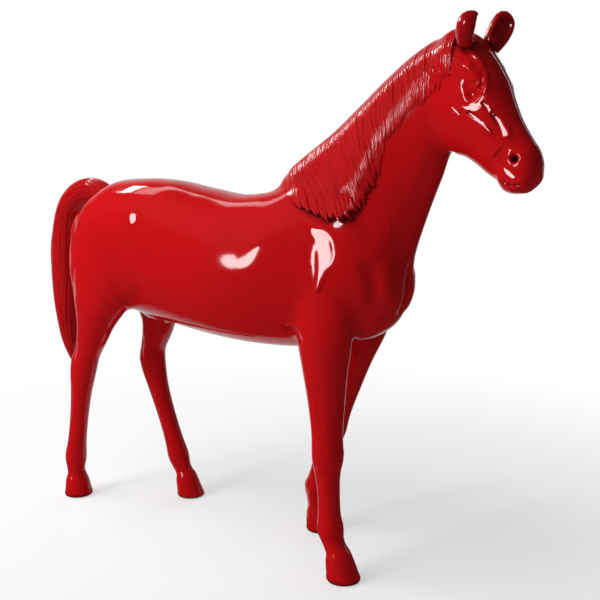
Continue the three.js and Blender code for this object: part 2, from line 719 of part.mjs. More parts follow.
// Tail: arches from the croup and falls in wavy locks to a point. Columns: station,
// middle x and z, reach ahead, behind and to the sides.
const tailRows = [
  [0, 135 - RUMP_REACH, 1430, 45, 45, 45],
  [1, -15 - RUMP_REACH, 1474, 60, 62, 58],
  [2, -149 - RUMP_REACH, 1406, 70, 78, TAIL_HALF_WIDTH - 4],
  [3, -211 - RUMP_REACH, 1230, 76, 80, TAIL_HALF_WIDTH],
  [4, -225 - RUMP_REACH, 1020, 74, 78, TAIL_HALF_WIDTH - 2],
  [5, -219 - RUMP_REACH, 820, 60, 62, TAIL_HALF_WIDTH - 16],
  [5.6, -209 - RUMP_REACH, 700, 40, 42, 36],
  [6, -203 - RUMP_REACH, 622, 13, 13, 13],
];
function tailForm() {
  const around = 20;
  const rings = places(tailRows, 4).map((at) => {
    const [x, z, front, back, aside] = between(tailRows, at);
    const [xBefore, zBefore] = between(tailRows, at - 0.1);
    const [xAfter, zAfter] = between(tailRows, at + 0.1);
    const along = new THREE.Vector3(xAfter - xBefore, 0, zAfter - zBefore).normalize();
    const forward = new THREE.Vector3(-along.z, 0, along.x);
    const hairy = Math.min(1, Math.max(0, at - 1)) * LOCK_RELIEF;
    return Array.from({ length: around }, (_, j) => {
      const angle = 2 * Math.PI * j / around;
      const lock = Math.cos(TAIL_LOCKS * angle + TAIL_WAVE * Math.sin(1.5 * at));
      const wave = hairy * lock * Math.min(1, aside / 40);
      const depth = Math.cos(angle) > 0 ? front : back;
      return new THREE.Vector3(x, Math.sin(angle) * (aside + wave), z)
        .addScaledVector(forward, Math.cos(angle) * (depth + wave));
    });
  });
  return skin(rings);
}

// Ear: a leaf-shaped cone, and the cup that hollows it from the front. Columns: share of the
// height, share of the width, shift away from the middle of the head.
const earRows = [
  [0, 0.74, 0],
  [0.2, 0.9, 3],
  [0.45, 1, 6],
  [0.7, 0.96, 5],
  [0.9, 0.68, 0],
  [1, 0.2, -6],
];
const cupRows = [
  [0.28, 0.1, 4],
  [0.4, 0.55, 6],
  [0.55, 0.7, 6],
  [0.74, 0.64, 4],
  [0.88, 0.42, 0],
  [0.96, 0.12, -4],
];
const EAR_SIDES = 14;
function earForm(side, rows, ahead) {
  const foot = new THREE.Vector3(EAR_FOOT.x, side * EAR_FOOT.y, EAR_FOOT.z);
  const tipHeight = EAR_TIP.z + side * EAR_TIP_RAISE;
  const axis = new THREE.Vector3(EAR_TIP.x, side * EAR_TIP.y, tipHeight).sub(foot);
  const facing = new THREE.Vector3(1, side * EAR_TURN, 0);
  const depthWay = facing.projectOnPlane(axis.clone().normalize()).normalize();
  const widthWay = new THREE.Vector3().crossVectors(axis, depthWay).normalize();
  const rings = rows.map(([height, width, shift]) => {
    return Array.from({ length: EAR_SIDES }, (_, j) => {
      const angle = 2 * Math.PI * j / EAR_SIDES;
      return foot.clone().addScaledVector(axis, height).add(new THREE.Vector3(0, side * shift, 0))
        .addScaledVector(widthWay, Math.cos(angle) * width * EAR_HALF_WIDTH)
        .addScaledVector(depthWay, Math.sin(angle) * width * EAR_HALF_DEPTH + ahead);
    });
  });
  return turned(skin(rings));
}

const sculpture = new THREE.Group();
function place(name, body, material) {
  const geometry = surface(body);
  const mesh = new THREE.Mesh(toCreasedNormals(geometry, Math.PI / 5), material);
  mesh.name = name;
  sculpture.add(mesh);
  return mesh;
}

function buildShells() {
  for (const [sideName, side] of [['right', RIGHT], ['left', LEFT]]) {
    const half = shell.intersect(onSide(side, straight));
    place(`trunk_shell_${sideName}`, half.subtract(neckEnd), resin);
    place(`neck_shell_${sideName}`, half.intersect(neckStart).subtract(headEnd), resin);
    const headHalf = shell.intersect(headStart).intersect(onSide(side, headFrame()));
    place(`head_shell_${sideName}`, headHalf, resin);
    const cup = solid(earForm(side, cupRows, EAR_CUP_SHIFT));
    const ear = solid(earForm(side, earRows, 0)).subtract(cup);
    place(`ear_${sideName}`, mainPiece(ear.subtract(fitted)), resin);
  }
}

buildShells();
place('mane', mainPiece(solid(maneForm()).subtract(fitted)), hair);
place('tail', mainPiece(solid(tailForm()).subtract(fitted)), hair);
legs.forEach(buildLeg);
buildFrame();

// The origin is the middle of the ground under the whole sculpture.
const extent = new THREE.Box3().setFromObject(sculpture);
const middle = extent.getCenter(new THREE.Vector3());
sculpture.position.set(-middle.x, -middle.y, -extent.min.z);

export default sculpture;
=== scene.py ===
import math

import bmesh
import bpy
import numpy as np
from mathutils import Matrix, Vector
from mathutils.bvhtree import BVHTree


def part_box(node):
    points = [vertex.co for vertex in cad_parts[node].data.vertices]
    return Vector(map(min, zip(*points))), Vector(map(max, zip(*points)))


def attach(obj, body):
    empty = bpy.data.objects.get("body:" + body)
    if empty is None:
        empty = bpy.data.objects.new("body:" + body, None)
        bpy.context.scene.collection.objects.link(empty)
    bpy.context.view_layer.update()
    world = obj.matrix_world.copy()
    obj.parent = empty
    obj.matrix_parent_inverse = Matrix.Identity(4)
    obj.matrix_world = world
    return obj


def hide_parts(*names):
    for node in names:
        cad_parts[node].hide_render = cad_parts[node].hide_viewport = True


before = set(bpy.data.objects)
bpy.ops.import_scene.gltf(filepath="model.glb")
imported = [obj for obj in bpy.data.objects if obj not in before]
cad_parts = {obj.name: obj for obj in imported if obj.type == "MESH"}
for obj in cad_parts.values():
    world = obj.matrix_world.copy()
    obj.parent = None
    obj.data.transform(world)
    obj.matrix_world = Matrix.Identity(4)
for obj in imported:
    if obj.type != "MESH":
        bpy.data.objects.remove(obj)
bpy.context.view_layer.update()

# Frame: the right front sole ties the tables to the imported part.
MM = 0.001
FRONT_RIGHT_SOLE_X = 340
plate_low, plate_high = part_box("foot_plate_front_right")
SHIFT_X = (plate_low.x + plate_high.x) / 2 / MM - FRONT_RIGHT_SOLE_X

# Driving sizes, in millimetres
VOXEL = 6
HEAD_REFINED_FROM = 700
HEAD_TURN = math.radians(12)
TURN_START = 480
TURN_END = 636
RUMP_REACH = 1165
CHEST_REACH = 509
LEG_SEAM_HEIGHT = 800
HOOF_HEIGHT = 88
SOLE_LIFT = 0.6
CORONET_RADIUS = 51
FORE_STANCE = 172
HIND_STANCE = 150
RIGHT = -1
LEFT = 1
SIDE_NAMES = {RIGHT: "right", LEFT: "left"}

# Seams between the shells, as x and z of two points of each cut
NECK_SEAM = ((-30, 1530), (520, 1150))
HEAD_SEAM = ((655, 2005), (684, 1590))

# Body sections. Columns: top line x and z, bottom line x and z, half width,
# height share of the widest place, fullness above it and below it.
TRUNK_ROWS = [
    [-1165, 1305, -1165, 1175, 70, 0.50, 2.0, 2.0],
    [-1150, 1385, -1150, 1080, 148, 0.52, 2.0, 2.0],
    [-1090, 1460, -1090, 1000, 203, 0.54, 2.0, 2.0],
    [-980, 1514, -980, 957, 238, 0.56, 2.1, 2.0],
    [-800, 1532, -800, 912, 256, 0.55, 2.2, 2.0],
    [-620, 1522, -620, 887, 262, 0.50, 2.2, 2.1],
    [-430, 1488, -430, 866, 276, 0.47, 2.1, 2.2],
    [-230, 1462, -230, 851, 290, 0.46, 2.0, 2.2],
    [-80, 1480, -80, 848, 275, 0.45, 1.8, 2.2],
    [60, 1530, 70, 856, 245, 0.44, 1.6, 2.2],
    [170, 1560, 230, 880, 215, 0.45, 1.5, 2.2],
    [250, 1540, 390, 930, 190, 0.45, 1.6, 2.2],
    [350, 1450, 469, 1010, 150, 0.45, 1.8, 2.2],
    [420, 1330, 505, 1110, 100, 0.50, 2.0, 2.0],
    [450, 1260, 509, 1170, 40, 0.50, 2.0, 2.0],
]
NECK_ROWS = [
    [-130, 1440, 300, 960, 130, 0.45, 1.40, 2.0],
    [-40, 1540, 415, 1010, 170, 0.42, 1.35, 2.1],
    [55, 1608, 496, 1110, 165, 0.42, 1.30, 2.1],
    [172, 1683, 522, 1230, 135, 0.50, 1.35, 2.1],
    [303, 1785, 562, 1345, 112, 0.58, 1.45, 2.1],
    [421, 1880, 604, 1446, 98, 0.62, 1.50, 2.1],
    [517, 1946, 638, 1526, 90, 0.62, 1.60, 2.1],
    [604, 1986, 662, 1592, 84, 0.60, 1.70, 2.0],
    [690, 2003, 704, 1660, 70, 0.55, 1.80, 2.0],
    [745, 1985, 745, 1760, 50, 0.55, 2.0, 2.0],
]
HEAD_ROWS = [
    [660, 2006, 600, 1850, 45, 0.60, 2.0, 2.0],
    [712, 2012, 615, 1740, 82, 0.60, 2.0, 2.2],
    [775, 1989, 645, 1650, 92, 0.62, 2.1, 2.1],
    [837, 1922, 694, 1606, 94, 0.60, 2.2, 2.0],
    [881, 1849, 744, 1591, 92, 0.60, 2.2, 1.9],
    [912, 1777, 791, 1564, 82, 0.58, 2.1, 1.9],
    [946, 1708, 836, 1532, 71, 0.52, 2.1, 2.0],
    [985, 1648, 876, 1507, 64, 0.50, 2.1, 2.1],
    [1017, 1599, 895, 1483, 64, 0.50, 2.2, 2.2],
    [1025, 1552, 918, 1469, 60, 0.50, 2.3, 2.3],
    [1012, 1506, 950, 1466, 50, 0.50, 2.2, 2.2],
    [990, 1483, 974, 1468, 24, 0.50, 2.0, 2.0],
]

# Leg sections by joint number. Columns: joint, reach forward, back, outward and inward.
FORE_ROWS = [
    [-0.75, 60, 70, 50, 40],
    [-0.5, 125, 105, 68, 60],
    [-0.2, 132, 116, 80, 70],
    [0, 118, 106, 82, 70],
    [0.2, 98, 92, 76, 66],
    [0.5, 78, 72, 64, 60],
    [0.8, 64, 62, 56, 54],
    [0.95, 64, 63, 58, 56],
    [1.05, 62, 63, 57, 55],
    [1.18, 50, 56, 47, 47],
    [1.5, 42, 46, 41, 41],
    [1.8, 42, 50, 43, 43],
    [2, 48, 58, 48, 48],
    [2.35, 42, 46, 41, 41],
    [2.7, 40, 44, 42, 42],
    [3.05, 50, 48, 50, 50],
    [3.3, 51, 50, 51, 51],
]
HIND_ROWS = [
    [-0.6, 90, 90, 45, 40],
    [-0.35, 180, 170, 80, 60],
    [0, 246, 258, 106, 80],
    [0.35, 206, 235, 110, 80],
    [0.65, 140, 175, 102, 76],
    [1, 88, 118, 80, 66],
    [1.35, 72, 86, 64, 58],
    [1.7, 61, 72, 54, 52],
    [1.95, 61, 82, 53, 51],
    [2.1, 57, 74, 51, 49],
    [2.25, 49, 60, 46, 46],
    [2.5, 44, 49, 41, 41],
    [2.8, 44, 50, 42, 42],
    [3, 48, 58, 48, 48],
    [3.35, 42, 46, 41, 41],
    [3.7, 40, 44, 42, 42],
    [4.05, 50, 48, 50, 50],
    [4.3, 51, 50, 51, 51],
]


def fore_joints(elbow, knee, fetlock, coronet, sole):
    """Joints of a foreleg from the top down, as x, distance from the middle, and height."""
    return [
        [elbow, FORE_STANCE - 22, 905],
        [knee, FORE_STANCE - 17, 475],
        [fetlock, FORE_STANCE - 7, 195],
        [coronet, FORE_STANCE, HOOF_HEIGHT],
        [sole, FORE_STANCE, 0],
    ]


def hind_joints(hip, stifle, hock, fetlock, coronet, sole):
    """Joints of a hind leg from the top down, as x, distance from the middle, and height."""
    return [
        [hip, HIND_STANCE - 10, 1190],
        [stifle, HIND_STANCE, 870],
        [hock, HIND_STANCE, 630],
        [fetlock, HIND_STANCE, 200],
        [coronet, HIND_STANCE, HOOF_HEIGHT],
        [sole, HIND_STANCE, 0],
    ]


LEGS = [
    ("front_right", RIGHT, FORE_ROWS, fore_joints(235, 258, 281, 322, FRONT_RIGHT_SOLE_X)),
    ("front_left", LEFT, FORE_ROWS, fore_joints(205, 84, 6, 6, 20)),
    ("hind_right", RIGHT, HIND_ROWS, hind_joints(-900, -1012, -1112, -1192, -1194, -1189)),
    ("hind_left", LEFT, HIND_ROWS, hind_joints(-900, -905, -948, -800, -748, -722)),
]

# Hoof outline: share of the height, reach to the toe, to the heel and half width.
HOOF_ROWS = [
    [0, 66, 57, 61],
    [0.04, 69, 60, 64],
    [0.3, 66, 59, 62],
    [0.6, 61, 57, 58],
    [0.85, 56, 54, 54.5],
    [1, 51, 51, 51],
]

# Mane: share of the crest from the poll to the withers, crest x and z, lock end x and z.
MANE_ROWS = [
    [0, 756, 1994, 752, 1872],
    [0.14, 604, 1986, 632, 1785],
    [0.28, 517, 1946, 548, 1722],
    [0.43, 421, 1880, 472, 1650],
    [0.6, 303, 1785, 426, 1490],
    [0.75, 172, 1683, 376, 1385],
    [0.88, 55, 1608, 262, 1362],
    [0.96, -12, 1566, 110, 1420],
    [1, -52, 1532, -20, 1478],
]

MANE_CREST = 8
MANE_HEM = 5
MANE_THIN = 0.8
MANE_TUFT = 12
MANE_CLUMP = 4.2
MANE_LOCK = 3.0
MANE_FINE = 0.3
MANE_SINK = 7
MANE_BACKING = 14
MANE_FAN = 85
MANE_OVERLAP = 34
MANE_SPARE = 34
MANE_TIP = 18
MANE_GRID = (210, 1000)
MANE_SEED = 7
# Clumps, locks and fine strands: count, sway and length of a wave
MANE_STRANDS = ((34, 0.7, 120), (70, 1.3, 90), (190, 1.6, 50))

# Tail: station, middle x and z, reach ahead, behind and to the sides.
TAIL_ROWS = [
    [0, -1030, 1430, 45, 45, 45],
    [1, -1180, 1474, 60, 62, 58],
    [2, -1314, 1406, 70, 78, 68],
    [3, -1376, 1230, 76, 80, 72],
    [4, -1390, 1020, 74, 78, 70],
    [5, -1384, 820, 60, 62, 56],
    [5.6, -1374, 700, 40, 42, 36],
    [6, -1368, 622, 11, 11, 11],
]
TAIL_CLUMP = 4.5
TAIL_LOCK = 2.6
TAIL_SET_IN = 3
TAIL_GRID = (460, 400)
TAIL_SEED = 11
TAIL_STRANDS = ((15, 0.7, 190), (44, 1.6, 110), (92, 1.4, 70))

# Ear: share of the height, share of the width, shift away from the middle of the head.
EAR_FOOT = (774, 74, 1952)
EAR_TIP = (822, 103, 2059)
EAR_TIP_RAISE = 13
EAR_HALF_WIDTH = 42
EAR_HALF_DEPTH = 37
EAR_TURN = -0.7
EAR_CUP_DEPTH = 26
EAR_ROWS = [
    [0, 0.74, 0],
    [0.2, 0.9, 3],
    [0.45, 1, 6],
    [0.7, 0.96, 5],
    [0.88, 0.72, 1],
    [0.97, 0.38, -4],
    [1, 0.12, -6],
]


# Curves and lofts

def curve(stations, rows, at):
    """Smooth values between rows at given stations."""
    stations = np.asarray(stations, float)
    rows = np.asarray(rows, float)
    at = np.asarray(at, float)
    span = np.diff(stations)
    slope = np.diff(rows, axis=0) / span[:, None]
    tangent = np.empty_like(rows)
    tangent[0] = slope[0]
    tangent[-1] = slope[-1]
    before, after = span[:-1, None], span[1:, None]
    tangent[1:-1] = (slope[:-1] * after + slope[1:] * before) / (before + after)
    i = np.clip(np.searchsorted(stations, at, side="right") - 1, 0, len(span) - 1)
    t = ((at - stations[i]) / span[i])[:, None]
    h = span[i][:, None]
    inside = ((2 * t ** 3 - 3 * t ** 2 + 1) * rows[i] + (t ** 3 - 2 * t ** 2 + t) * h * tangent[i]
              + (3 * t ** 2 - 2 * t ** 3) * rows[i + 1] + (t ** 3 - t ** 2) * h * tangent[i + 1])
    below = rows[i] + slope[i] * t * h
    beyond = rows[i + 1] + slope[i] * (t - 1) * h
    return np.where(t < 0, below, np.where(t > 1, beyond, inside))


def row_curve(rows, at):
    """Smooth values of rows that begin with their station."""
    rows = np.asarray(rows, float)
    return curve(rows[:, 0], rows[:, 1:], at)


def places(stations, steps):
    """Stations with a number of even steps between each two."""
    parts = [np.linspace(a, b, steps, endpoint=False) for a, b in zip(stations[:-1], stations[1:])]
    return np.append(np.concatenate(parts), stations[-1])


def fullness(value, power):
    """Signed power, for the rounded-box sections."""
    return np.sign(value) * np.abs(value) ** power


def closed_loft(rings):
    """Points and faces of a closed skin through rings, its ends closed by fans."""
    rings = np.asarray(rings, float)
    count, around = rings.shape[:2]
    points = np.concatenate([rings.reshape(-1, 3), [rings[0].mean(axis=0)], [rings[-1].mean(axis=0)]])
    i, j = np.meshgrid(np.arange(count - 1) * around, np.arange(around), indexing="ij")
    k = (j + 1) % around
    quads = np.stack([i + j, i + k, i + around + k, i + around + j], axis=-1).reshape(-1, 4)
    ring = np.arange(around)
    after = (ring + 1) % around
    last = (count - 1) * around
    first_fan = np.stack([np.full(around, count * around), after, ring], axis=1)
    last_fan = np.stack([np.full(around, count * around + 1), last + ring, last + after], axis=1)
    return faced_out(points, [quads, np.concatenate([first_fan, last_fan])])


def faced_out(points, faces):
    """The same closed form with its faces pointing out. Faces are grouped by number of corners."""
    volume = 0
    for group in faces:
        for k in range(1, group.shape[1] - 1):
            a, b, c = points[group[:, 0]], points[group[:, k]], points[group[:, k + 1]]
            volume += np.einsum("ij,ij->", a, np.cross(b, c))
    if volume < 0:
        faces = [group[:, ::-1] for group in faces]
    return points, faces


def body_loft(rows, around=96, steps=8):
    """Loft through body sections, each from its top line to its bottom line."""
    rows = np.asarray(rows, float)
    middle = (rows[:, 0:2] + rows[:, 2:4]) / 2
    along = np.concatenate([[0], np.cumsum(np.linalg.norm(np.diff(middle, axis=0), axis=1))])
    angle = np.linspace(0, 2 * math.pi, around, endpoint=False)
    up = np.sin(angle)
    rings = []
    for x_top, z_top, x_low, z_low, width, widest, above, below in curve(along, rows, places(along, steps)):
        power = np.where(up >= 0, 2 / above, 2 / below)
        lift = np.abs(up) ** power
        share = np.where(up >= 0, widest + (1 - widest) * lift, widest - widest * lift)
        y = max(width, 1) * fullness(np.cos(angle), power)
        rings.append(np.stack([x_low + (x_top - x_low) * share, y, z_low + (z_top - z_low) * share], axis=1))
    return closed_loft(rings)


def leg_line(joints, side):
    """Joint numbers and places of a leg's centre line."""
    places_xyz = [[x, side * out, z] for x, out, z in joints]
    return np.arange(len(joints)), np.array(places_xyz, float)


def leg_rings(joints, rows, side, at, angle):
    """Points round a leg at joint numbers and angles: 0 is forward, 90 degrees outward."""
    stations, line = leg_line(joints[:-1], side)
    centre = curve(stations, line, at)
    along = curve(stations, line, at + 0.02) - curve(stations, line, at - 0.02)
    along[:, 1] = 0
    along /= np.linalg.norm(along, axis=1)[:, None]
    forward = np.stack([-along[:, 2], np.zeros(len(at)), along[:, 0]], axis=1)
    front, back, outer, inner = row_curve(rows, at).T[:, :, None]
    ahead = np.cos(angle) * np.where(np.cos(angle) > 0, front, back)
    aside = np.sin(angle) * np.where(np.sin(angle) > 0, outer, inner)
    out = np.array([0, side, 0])
    return centre[:, None] + forward[:, None] * ahead[..., None] + out * aside[..., None]


def leg_loft(joints, rows, side):
    """Loft of one leg from inside the body to inside its hoof."""
    angle = np.linspace(0, 2 * math.pi, 48, endpoint=False)
    at = places([row[0] for row in rows], 6)
    return closed_loft(leg_rings(joints, rows, side, at, angle))


def hoof_loft(joints, side):
    """Bell-shaped hoof that stands on its sole."""
    share = places([row[0] for row in HOOF_ROWS], 5)
    angle = np.linspace(0, 2 * math.pi, 64, endpoint=False)
    coronet, sole = joints[-2], joints[-1]
    rings = []
    for at, (toe, heel, half_width) in zip(share, row_curve(HOOF_ROWS, share)):
        x = sole[0] + (coronet[0] - sole[0]) * at
        y = side * (sole[1] + (coronet[1] - sole[1]) * at)
        ahead = np.cos(angle) * np.where(np.cos(angle) > 0, toe, heel)
        z = np.full(len(angle), SOLE_LIFT + (HOOF_HEIGHT - SOLE_LIFT) * at)
        rings.append(np.stack([x + ahead, y + np.sin(angle) * half_width, z], axis=1))
    return closed_loft(rings)


def head_turned(points):
    """Bends points with the head's turn to the right."""
    length = TURN_END - TURN_START
    radius = length / HEAD_TURN
    x, y, z = points.T
    angle = HEAD_TURN * np.clip((x - TURN_START) / length, 0, 1)
    beyond = np.maximum(x - TURN_END, 0)
    new_x = np.minimum(x, TURN_START) + (radius + y) * np.sin(angle) + beyond * np.cos(angle)
    new_y = (radius + y) * np.cos(angle) - radius - beyond * np.sin(angle)
    return np.stack([new_x, new_y, z], axis=1)


def to_frame(points):
    """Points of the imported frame, in metres, from straight-headed millimetres."""
    return (head_turned(points) + [SHIFT_X, 0, 0]) * MM


# Meshes

def new_mesh(name, points, faces):
    """A mesh from points and from faces grouped by number of corners."""
    mesh = bpy.data.meshes.new(name)
    corners = np.concatenate([group.ravel() for group in faces])
    counts = np.concatenate([np.full(len(group), group.shape[1]) for group in faces])
    mesh.vertices.add(len(points))
    mesh.vertices.foreach_set("co", np.asarray(points, np.float32).ravel())
    mesh.loops.add(len(corners))
    mesh.loops.foreach_set("vertex_index", corners.astype(np.int32))
    mesh.polygons.add(len(counts))
    starts = np.concatenate([[0], np.cumsum(counts)[:-1]])
    mesh.polygons.foreach_set("loop_start", starts.astype(np.int32))
    mesh.update(calc_edges=True)
    return mesh


def new_object(name, mesh):
    made = bpy.data.objects.new(name, mesh)
    bpy.context.scene.collection.objects.link(made)
    return made


def joined(parts):
    """One list of points and faces from several forms."""
    points, faces, start = [], [], 0
    for part_points, part_faces in parts:
        points.append(part_points)
        faces.extend(group + start for group in part_faces)
        start += len(part_points)
    return np.concatenate(points), faces


def fused(parts, voxel):
    """One skin round several closed forms."""
    points, faces = joined(parts)
    made = new_object("fusing", new_mesh("fusing", points, faces))
    remesh = made.modifiers.new("remesh", "REMESH")
    remesh.mode = "VOXEL"
    remesh.voxel_size = voxel
    remesh.adaptivity = 0
    graph = bpy.context.evaluated_depsgraph_get()
    mesh = bpy.data.meshes.new_from_object(made.evaluated_get(graph))
    bpy.data.objects.remove(made)
    return mesh


class Skin:
    """A mesh as arrays, for smoothing and for sculpting strokes."""

    def __init__(self, mesh):
        self.mesh = mesh
        flat = np.empty(len(mesh.vertices) * 3, np.float32)
        mesh.vertices.foreach_get("co", flat)
        self.points = flat.reshape(-1, 3).astype(float)
        edges = np.empty(len(mesh.edges) * 2, np.int32)
        mesh.edges.foreach_get("vertices", edges)
        self.a, self.b = edges.reshape(-1, 2).T
        self.degree = np.bincount(np.concatenate([self.a, self.b]), minlength=len(self.points))
        self.update_normals()

    def update_normals(self):
        """Puts the moved points back in the mesh and reads its normals."""
        self.mesh.vertices.foreach_set("co", self.points.astype(np.float32).ravel())
        self.mesh.update()
        flat = np.empty(len(self.points) * 3, np.float32)
        self.mesh.vertex_normals.foreach_get("vector", flat)
        self.normals = flat.reshape(-1, 3).astype(float)

    def faces(self):
        """Faces grouped by number of corners."""
        starts = np.empty(len(self.mesh.polygons), np.int32)
        self.mesh.polygons.foreach_get("loop_start", starts)
        corners = np.empty(len(self.mesh.loops), np.int32)
        self.mesh.loops.foreach_get("vertex_index", corners)
        counts = np.diff(np.append(starts, len(corners)))
        groups = []
        for count in np.unique(counts):
            index = starts[counts == count][:, None] + np.arange(count)
            groups.append(corners[index])
        return groups

    def average(self, values):
        """Mean of the neighbours' values at each point."""
        if values.ndim == 1:
            count = len(values)
            total = np.bincount(self.a, values[self.b], count) + np.bincount(self.b, values[self.a], count)
            return total / self.degree
        return np.stack([self.average(values[:, k]) for k in range(values.shape[1])], axis=1)

    def relax(self, rounds, weight=None):
        """Evens out small waves without shrinking the form."""
        share = 1 if weight is None else weight[:, None]
        for _ in range(rounds):
            self.points += 0.5 * share * (self.average(self.points) - self.points)
            self.points -= 0.52 * share * (self.average(self.points) - self.points)
        self.update_normals()

    def hollows(self, radius, spread):
        """Share from 0 to 1 of how far each point lies in a crease tighter than a radius."""
        lift = ((self.average(self.points) - self.points) * self.normals).sum(axis=1)
        for _ in range(3):
            lift = self.average(lift)
        depth = np.clip(lift / (VOXEL ** 2 / (4 * radius)), 0, 1)
        for _ in range(spread):
            depth = np.maximum(depth, self.average(depth))
        for _ in range(spread // 3):
            depth = self.average(depth)
        return np.clip(depth, 0, 1)

    def soften(self, weight, rounds):
        """Melts the skin together where the weight says."""
        for _ in range(rounds):
            self.points += 0.6 * weight[:, None] * (self.average(self.points) - self.points)
        self.update_normals()

    def tree(self):
        """The skin as it is now, for laying strokes on it."""
        shape = bmesh.new()
        shape.from_mesh(self.mesh)
        tree = BVHTree.FromBMesh(shape)
        shape.free()
        return tree


def refined(skin, wanted):
    """The skin with its faces split in four where wanted, and evened out there."""
    shape = bmesh.new()
    shape.from_mesh(skin.mesh)
    chosen = [edge for edge in shape.edges if wanted[edge.verts[0].index] and wanted[edge.verts[1].index]]
    bmesh.ops.subdivide_edges(shape, edges=chosen, cuts=1, use_grid_fill=True)
    shape.to_mesh(skin.mesh)
    shape.free()
    return Skin(skin.mesh)


# Sculpting strokes

def smooth_step(low, high, value):
    t = np.clip((value - low) / (high - low), 0, 1)
    return t * t * (3 - 2 * t)


def distance_to_line(points, line):
    """Distance of points from a broken line, and how far along it the nearest place is, 0 to 1."""
    line = np.asarray(line, float)
    lengths = np.linalg.norm(np.diff(line, axis=0), axis=1)
    total = lengths.sum()
    best = np.full(len(points), np.inf)
    along = np.zeros(len(points))
    start = 0
    for a, b, length in zip(line[:-1], line[1:], lengths):
        way = (b - a) / max(length, 1e-9)
        t = np.clip((points - a) @ way, 0, length)
        distance = np.linalg.norm(points - a - t[:, None] * way, axis=1)
        nearer = distance < best
        best[nearer] = distance[nearer]
        along[nearer] = (start + t[nearer]) / max(total, 1e-9)
        start += length
    return best, along


def rounded(line, steps=6):
    """The same line with its corners rounded by a smooth curve."""
    line = np.asarray(line, float)
    if len(line) < 3:
        return line
    stations = np.concatenate([[0], np.cumsum(np.linalg.norm(np.diff(line, axis=0), axis=1))])
    return curve(stations, line, places(stations, steps))


def press(skin, line, width, height, fade=0.2):
    """Raises the skin along a line by a height, or sinks it where the height is negative."""
    line = np.asarray(line, float)
    reach = 3 * width
    low, high = line.min(axis=0) - reach, line.max(axis=0) + reach
    near = np.where(((skin.points > low) & (skin.points < high)).all(axis=1))[0]
    if len(line) == 1:
        distance = np.linalg.norm(skin.points[near] - line[0], axis=1)
        taper = 1
    else:
        distance, along = distance_to_line(skin.points[near], line)
        taper = smooth_step(0, fade, along) * smooth_step(0, fade, 1 - along)
    amount = height * np.exp(-(distance / width) ** 2) * taper
    skin.points[near] += skin.normals[near] * amount[:, None]


def cast(tree, start, way):
    hit = tree.ray_cast(Vector(start), Vector(way))[0]
    return None if hit is None else np.array(hit)


def side_line(tree, line, side):
    """Points x and z laid on the skin from one side."""
    hits = [cast(tree, (x, side * 600, z), (0, -side, 0)) for x, z in line]
    return [hit for hit in hits if hit is not None]


def side_press(skin, tree, line, width, height, fade=0.2, sides=(RIGHT, LEFT)):
    """The same stroke on both sides of the horse."""
    for side in sides:
        laid = side_line(tree, rounded(line), side)
        if laid:
            press(skin, laid, width, height, fade)


def side_strokes(skin, tree, strokes):
    """Strokes on both sides, each a line with its width and height."""
    for line, width, height in strokes:
        side_press(skin, tree, line, width, height)


def front_press(skin, tree, line, width, height, fade=0.2):
    """A stroke on the chest, given as y and z, laid from the front."""
    laid = [cast(tree, (1200, y, z), (-1, 0, 0)) for y, z in rounded(line)]
    press(skin, [hit for hit in laid if hit is not None], width, height, fade)


def below_press(skin, tree, line, width, height, fade=0.2):
    """A stroke under the belly, given as x and y, laid from below."""
    laid = [cast(tree, (x, y, 300), (0, 0, 1)) for x, y in rounded(line)]
    press(skin, [hit for hit in laid if hit is not None], width, height, fade)


def leg_press(skin, leg, line, width, height, fade=0.2):
    """A stroke on one leg, given as joint numbers and degrees from forward to outward."""
    _, side, rows, joints = leg
    laid = [leg_rings(joints, rows, side, np.array([at]), np.radians([angle]))[0, 0]
            for at, angle in rounded(line)]
    press(skin, laid, width, height, fade)


def planish(skin, line, normal, depth=9, edge=4):
    """Flattens a strip on both sides of the horse so that all of it faces one way.

    The strip is given as seen from the side: x, z and half width at each of its points.
    """
    line = np.array(line, float)
    flat_line = np.stack([line[:, 0], np.zeros(len(line)), line[:, 1]], axis=1)
    lengths = np.linalg.norm(np.diff(flat_line, axis=0), axis=1)
    stations = np.concatenate([[0], np.cumsum(lengths)]) / lengths.sum()
    for side in (RIGHT, LEFT):
        way = np.array([normal[0], side * abs(normal[1]), normal[2]])
        way /= np.linalg.norm(way)
        facing = (skin.points[:, 1] * side > 20) & (skin.normals @ way > 0.4)
        distance, along = distance_to_line(skin.points * [1, 0, 1], flat_line)
        share = np.exp(-(distance / np.interp(along, stations, line[:, 2])) ** edge) * facing
        middle = (skin.points * share[:, None]).sum(axis=0) / share.sum()
        offset = np.clip((skin.points - middle) @ way, -depth, depth)
        skin.points -= way * (offset * share)[:, None]


# Ways that the flat places on the skin face, as if smoothed there with a board
CHEEK_FACING = (0.175, -0.98, 0.095)
MUZZLE_FACING = (0.152, -0.978, 0.14)
EYE_HOLLOW_FACING = (0.07, -0.985, -0.16)
SHOULDER_FACING = (0.083, -0.97, 0.225)
BEHIND_SHOULDER_FACING = (0.262, -0.94, 0.215)
HIP_FACING = (0.238, -0.95, 0.204)


# The skin of the body, before any hair

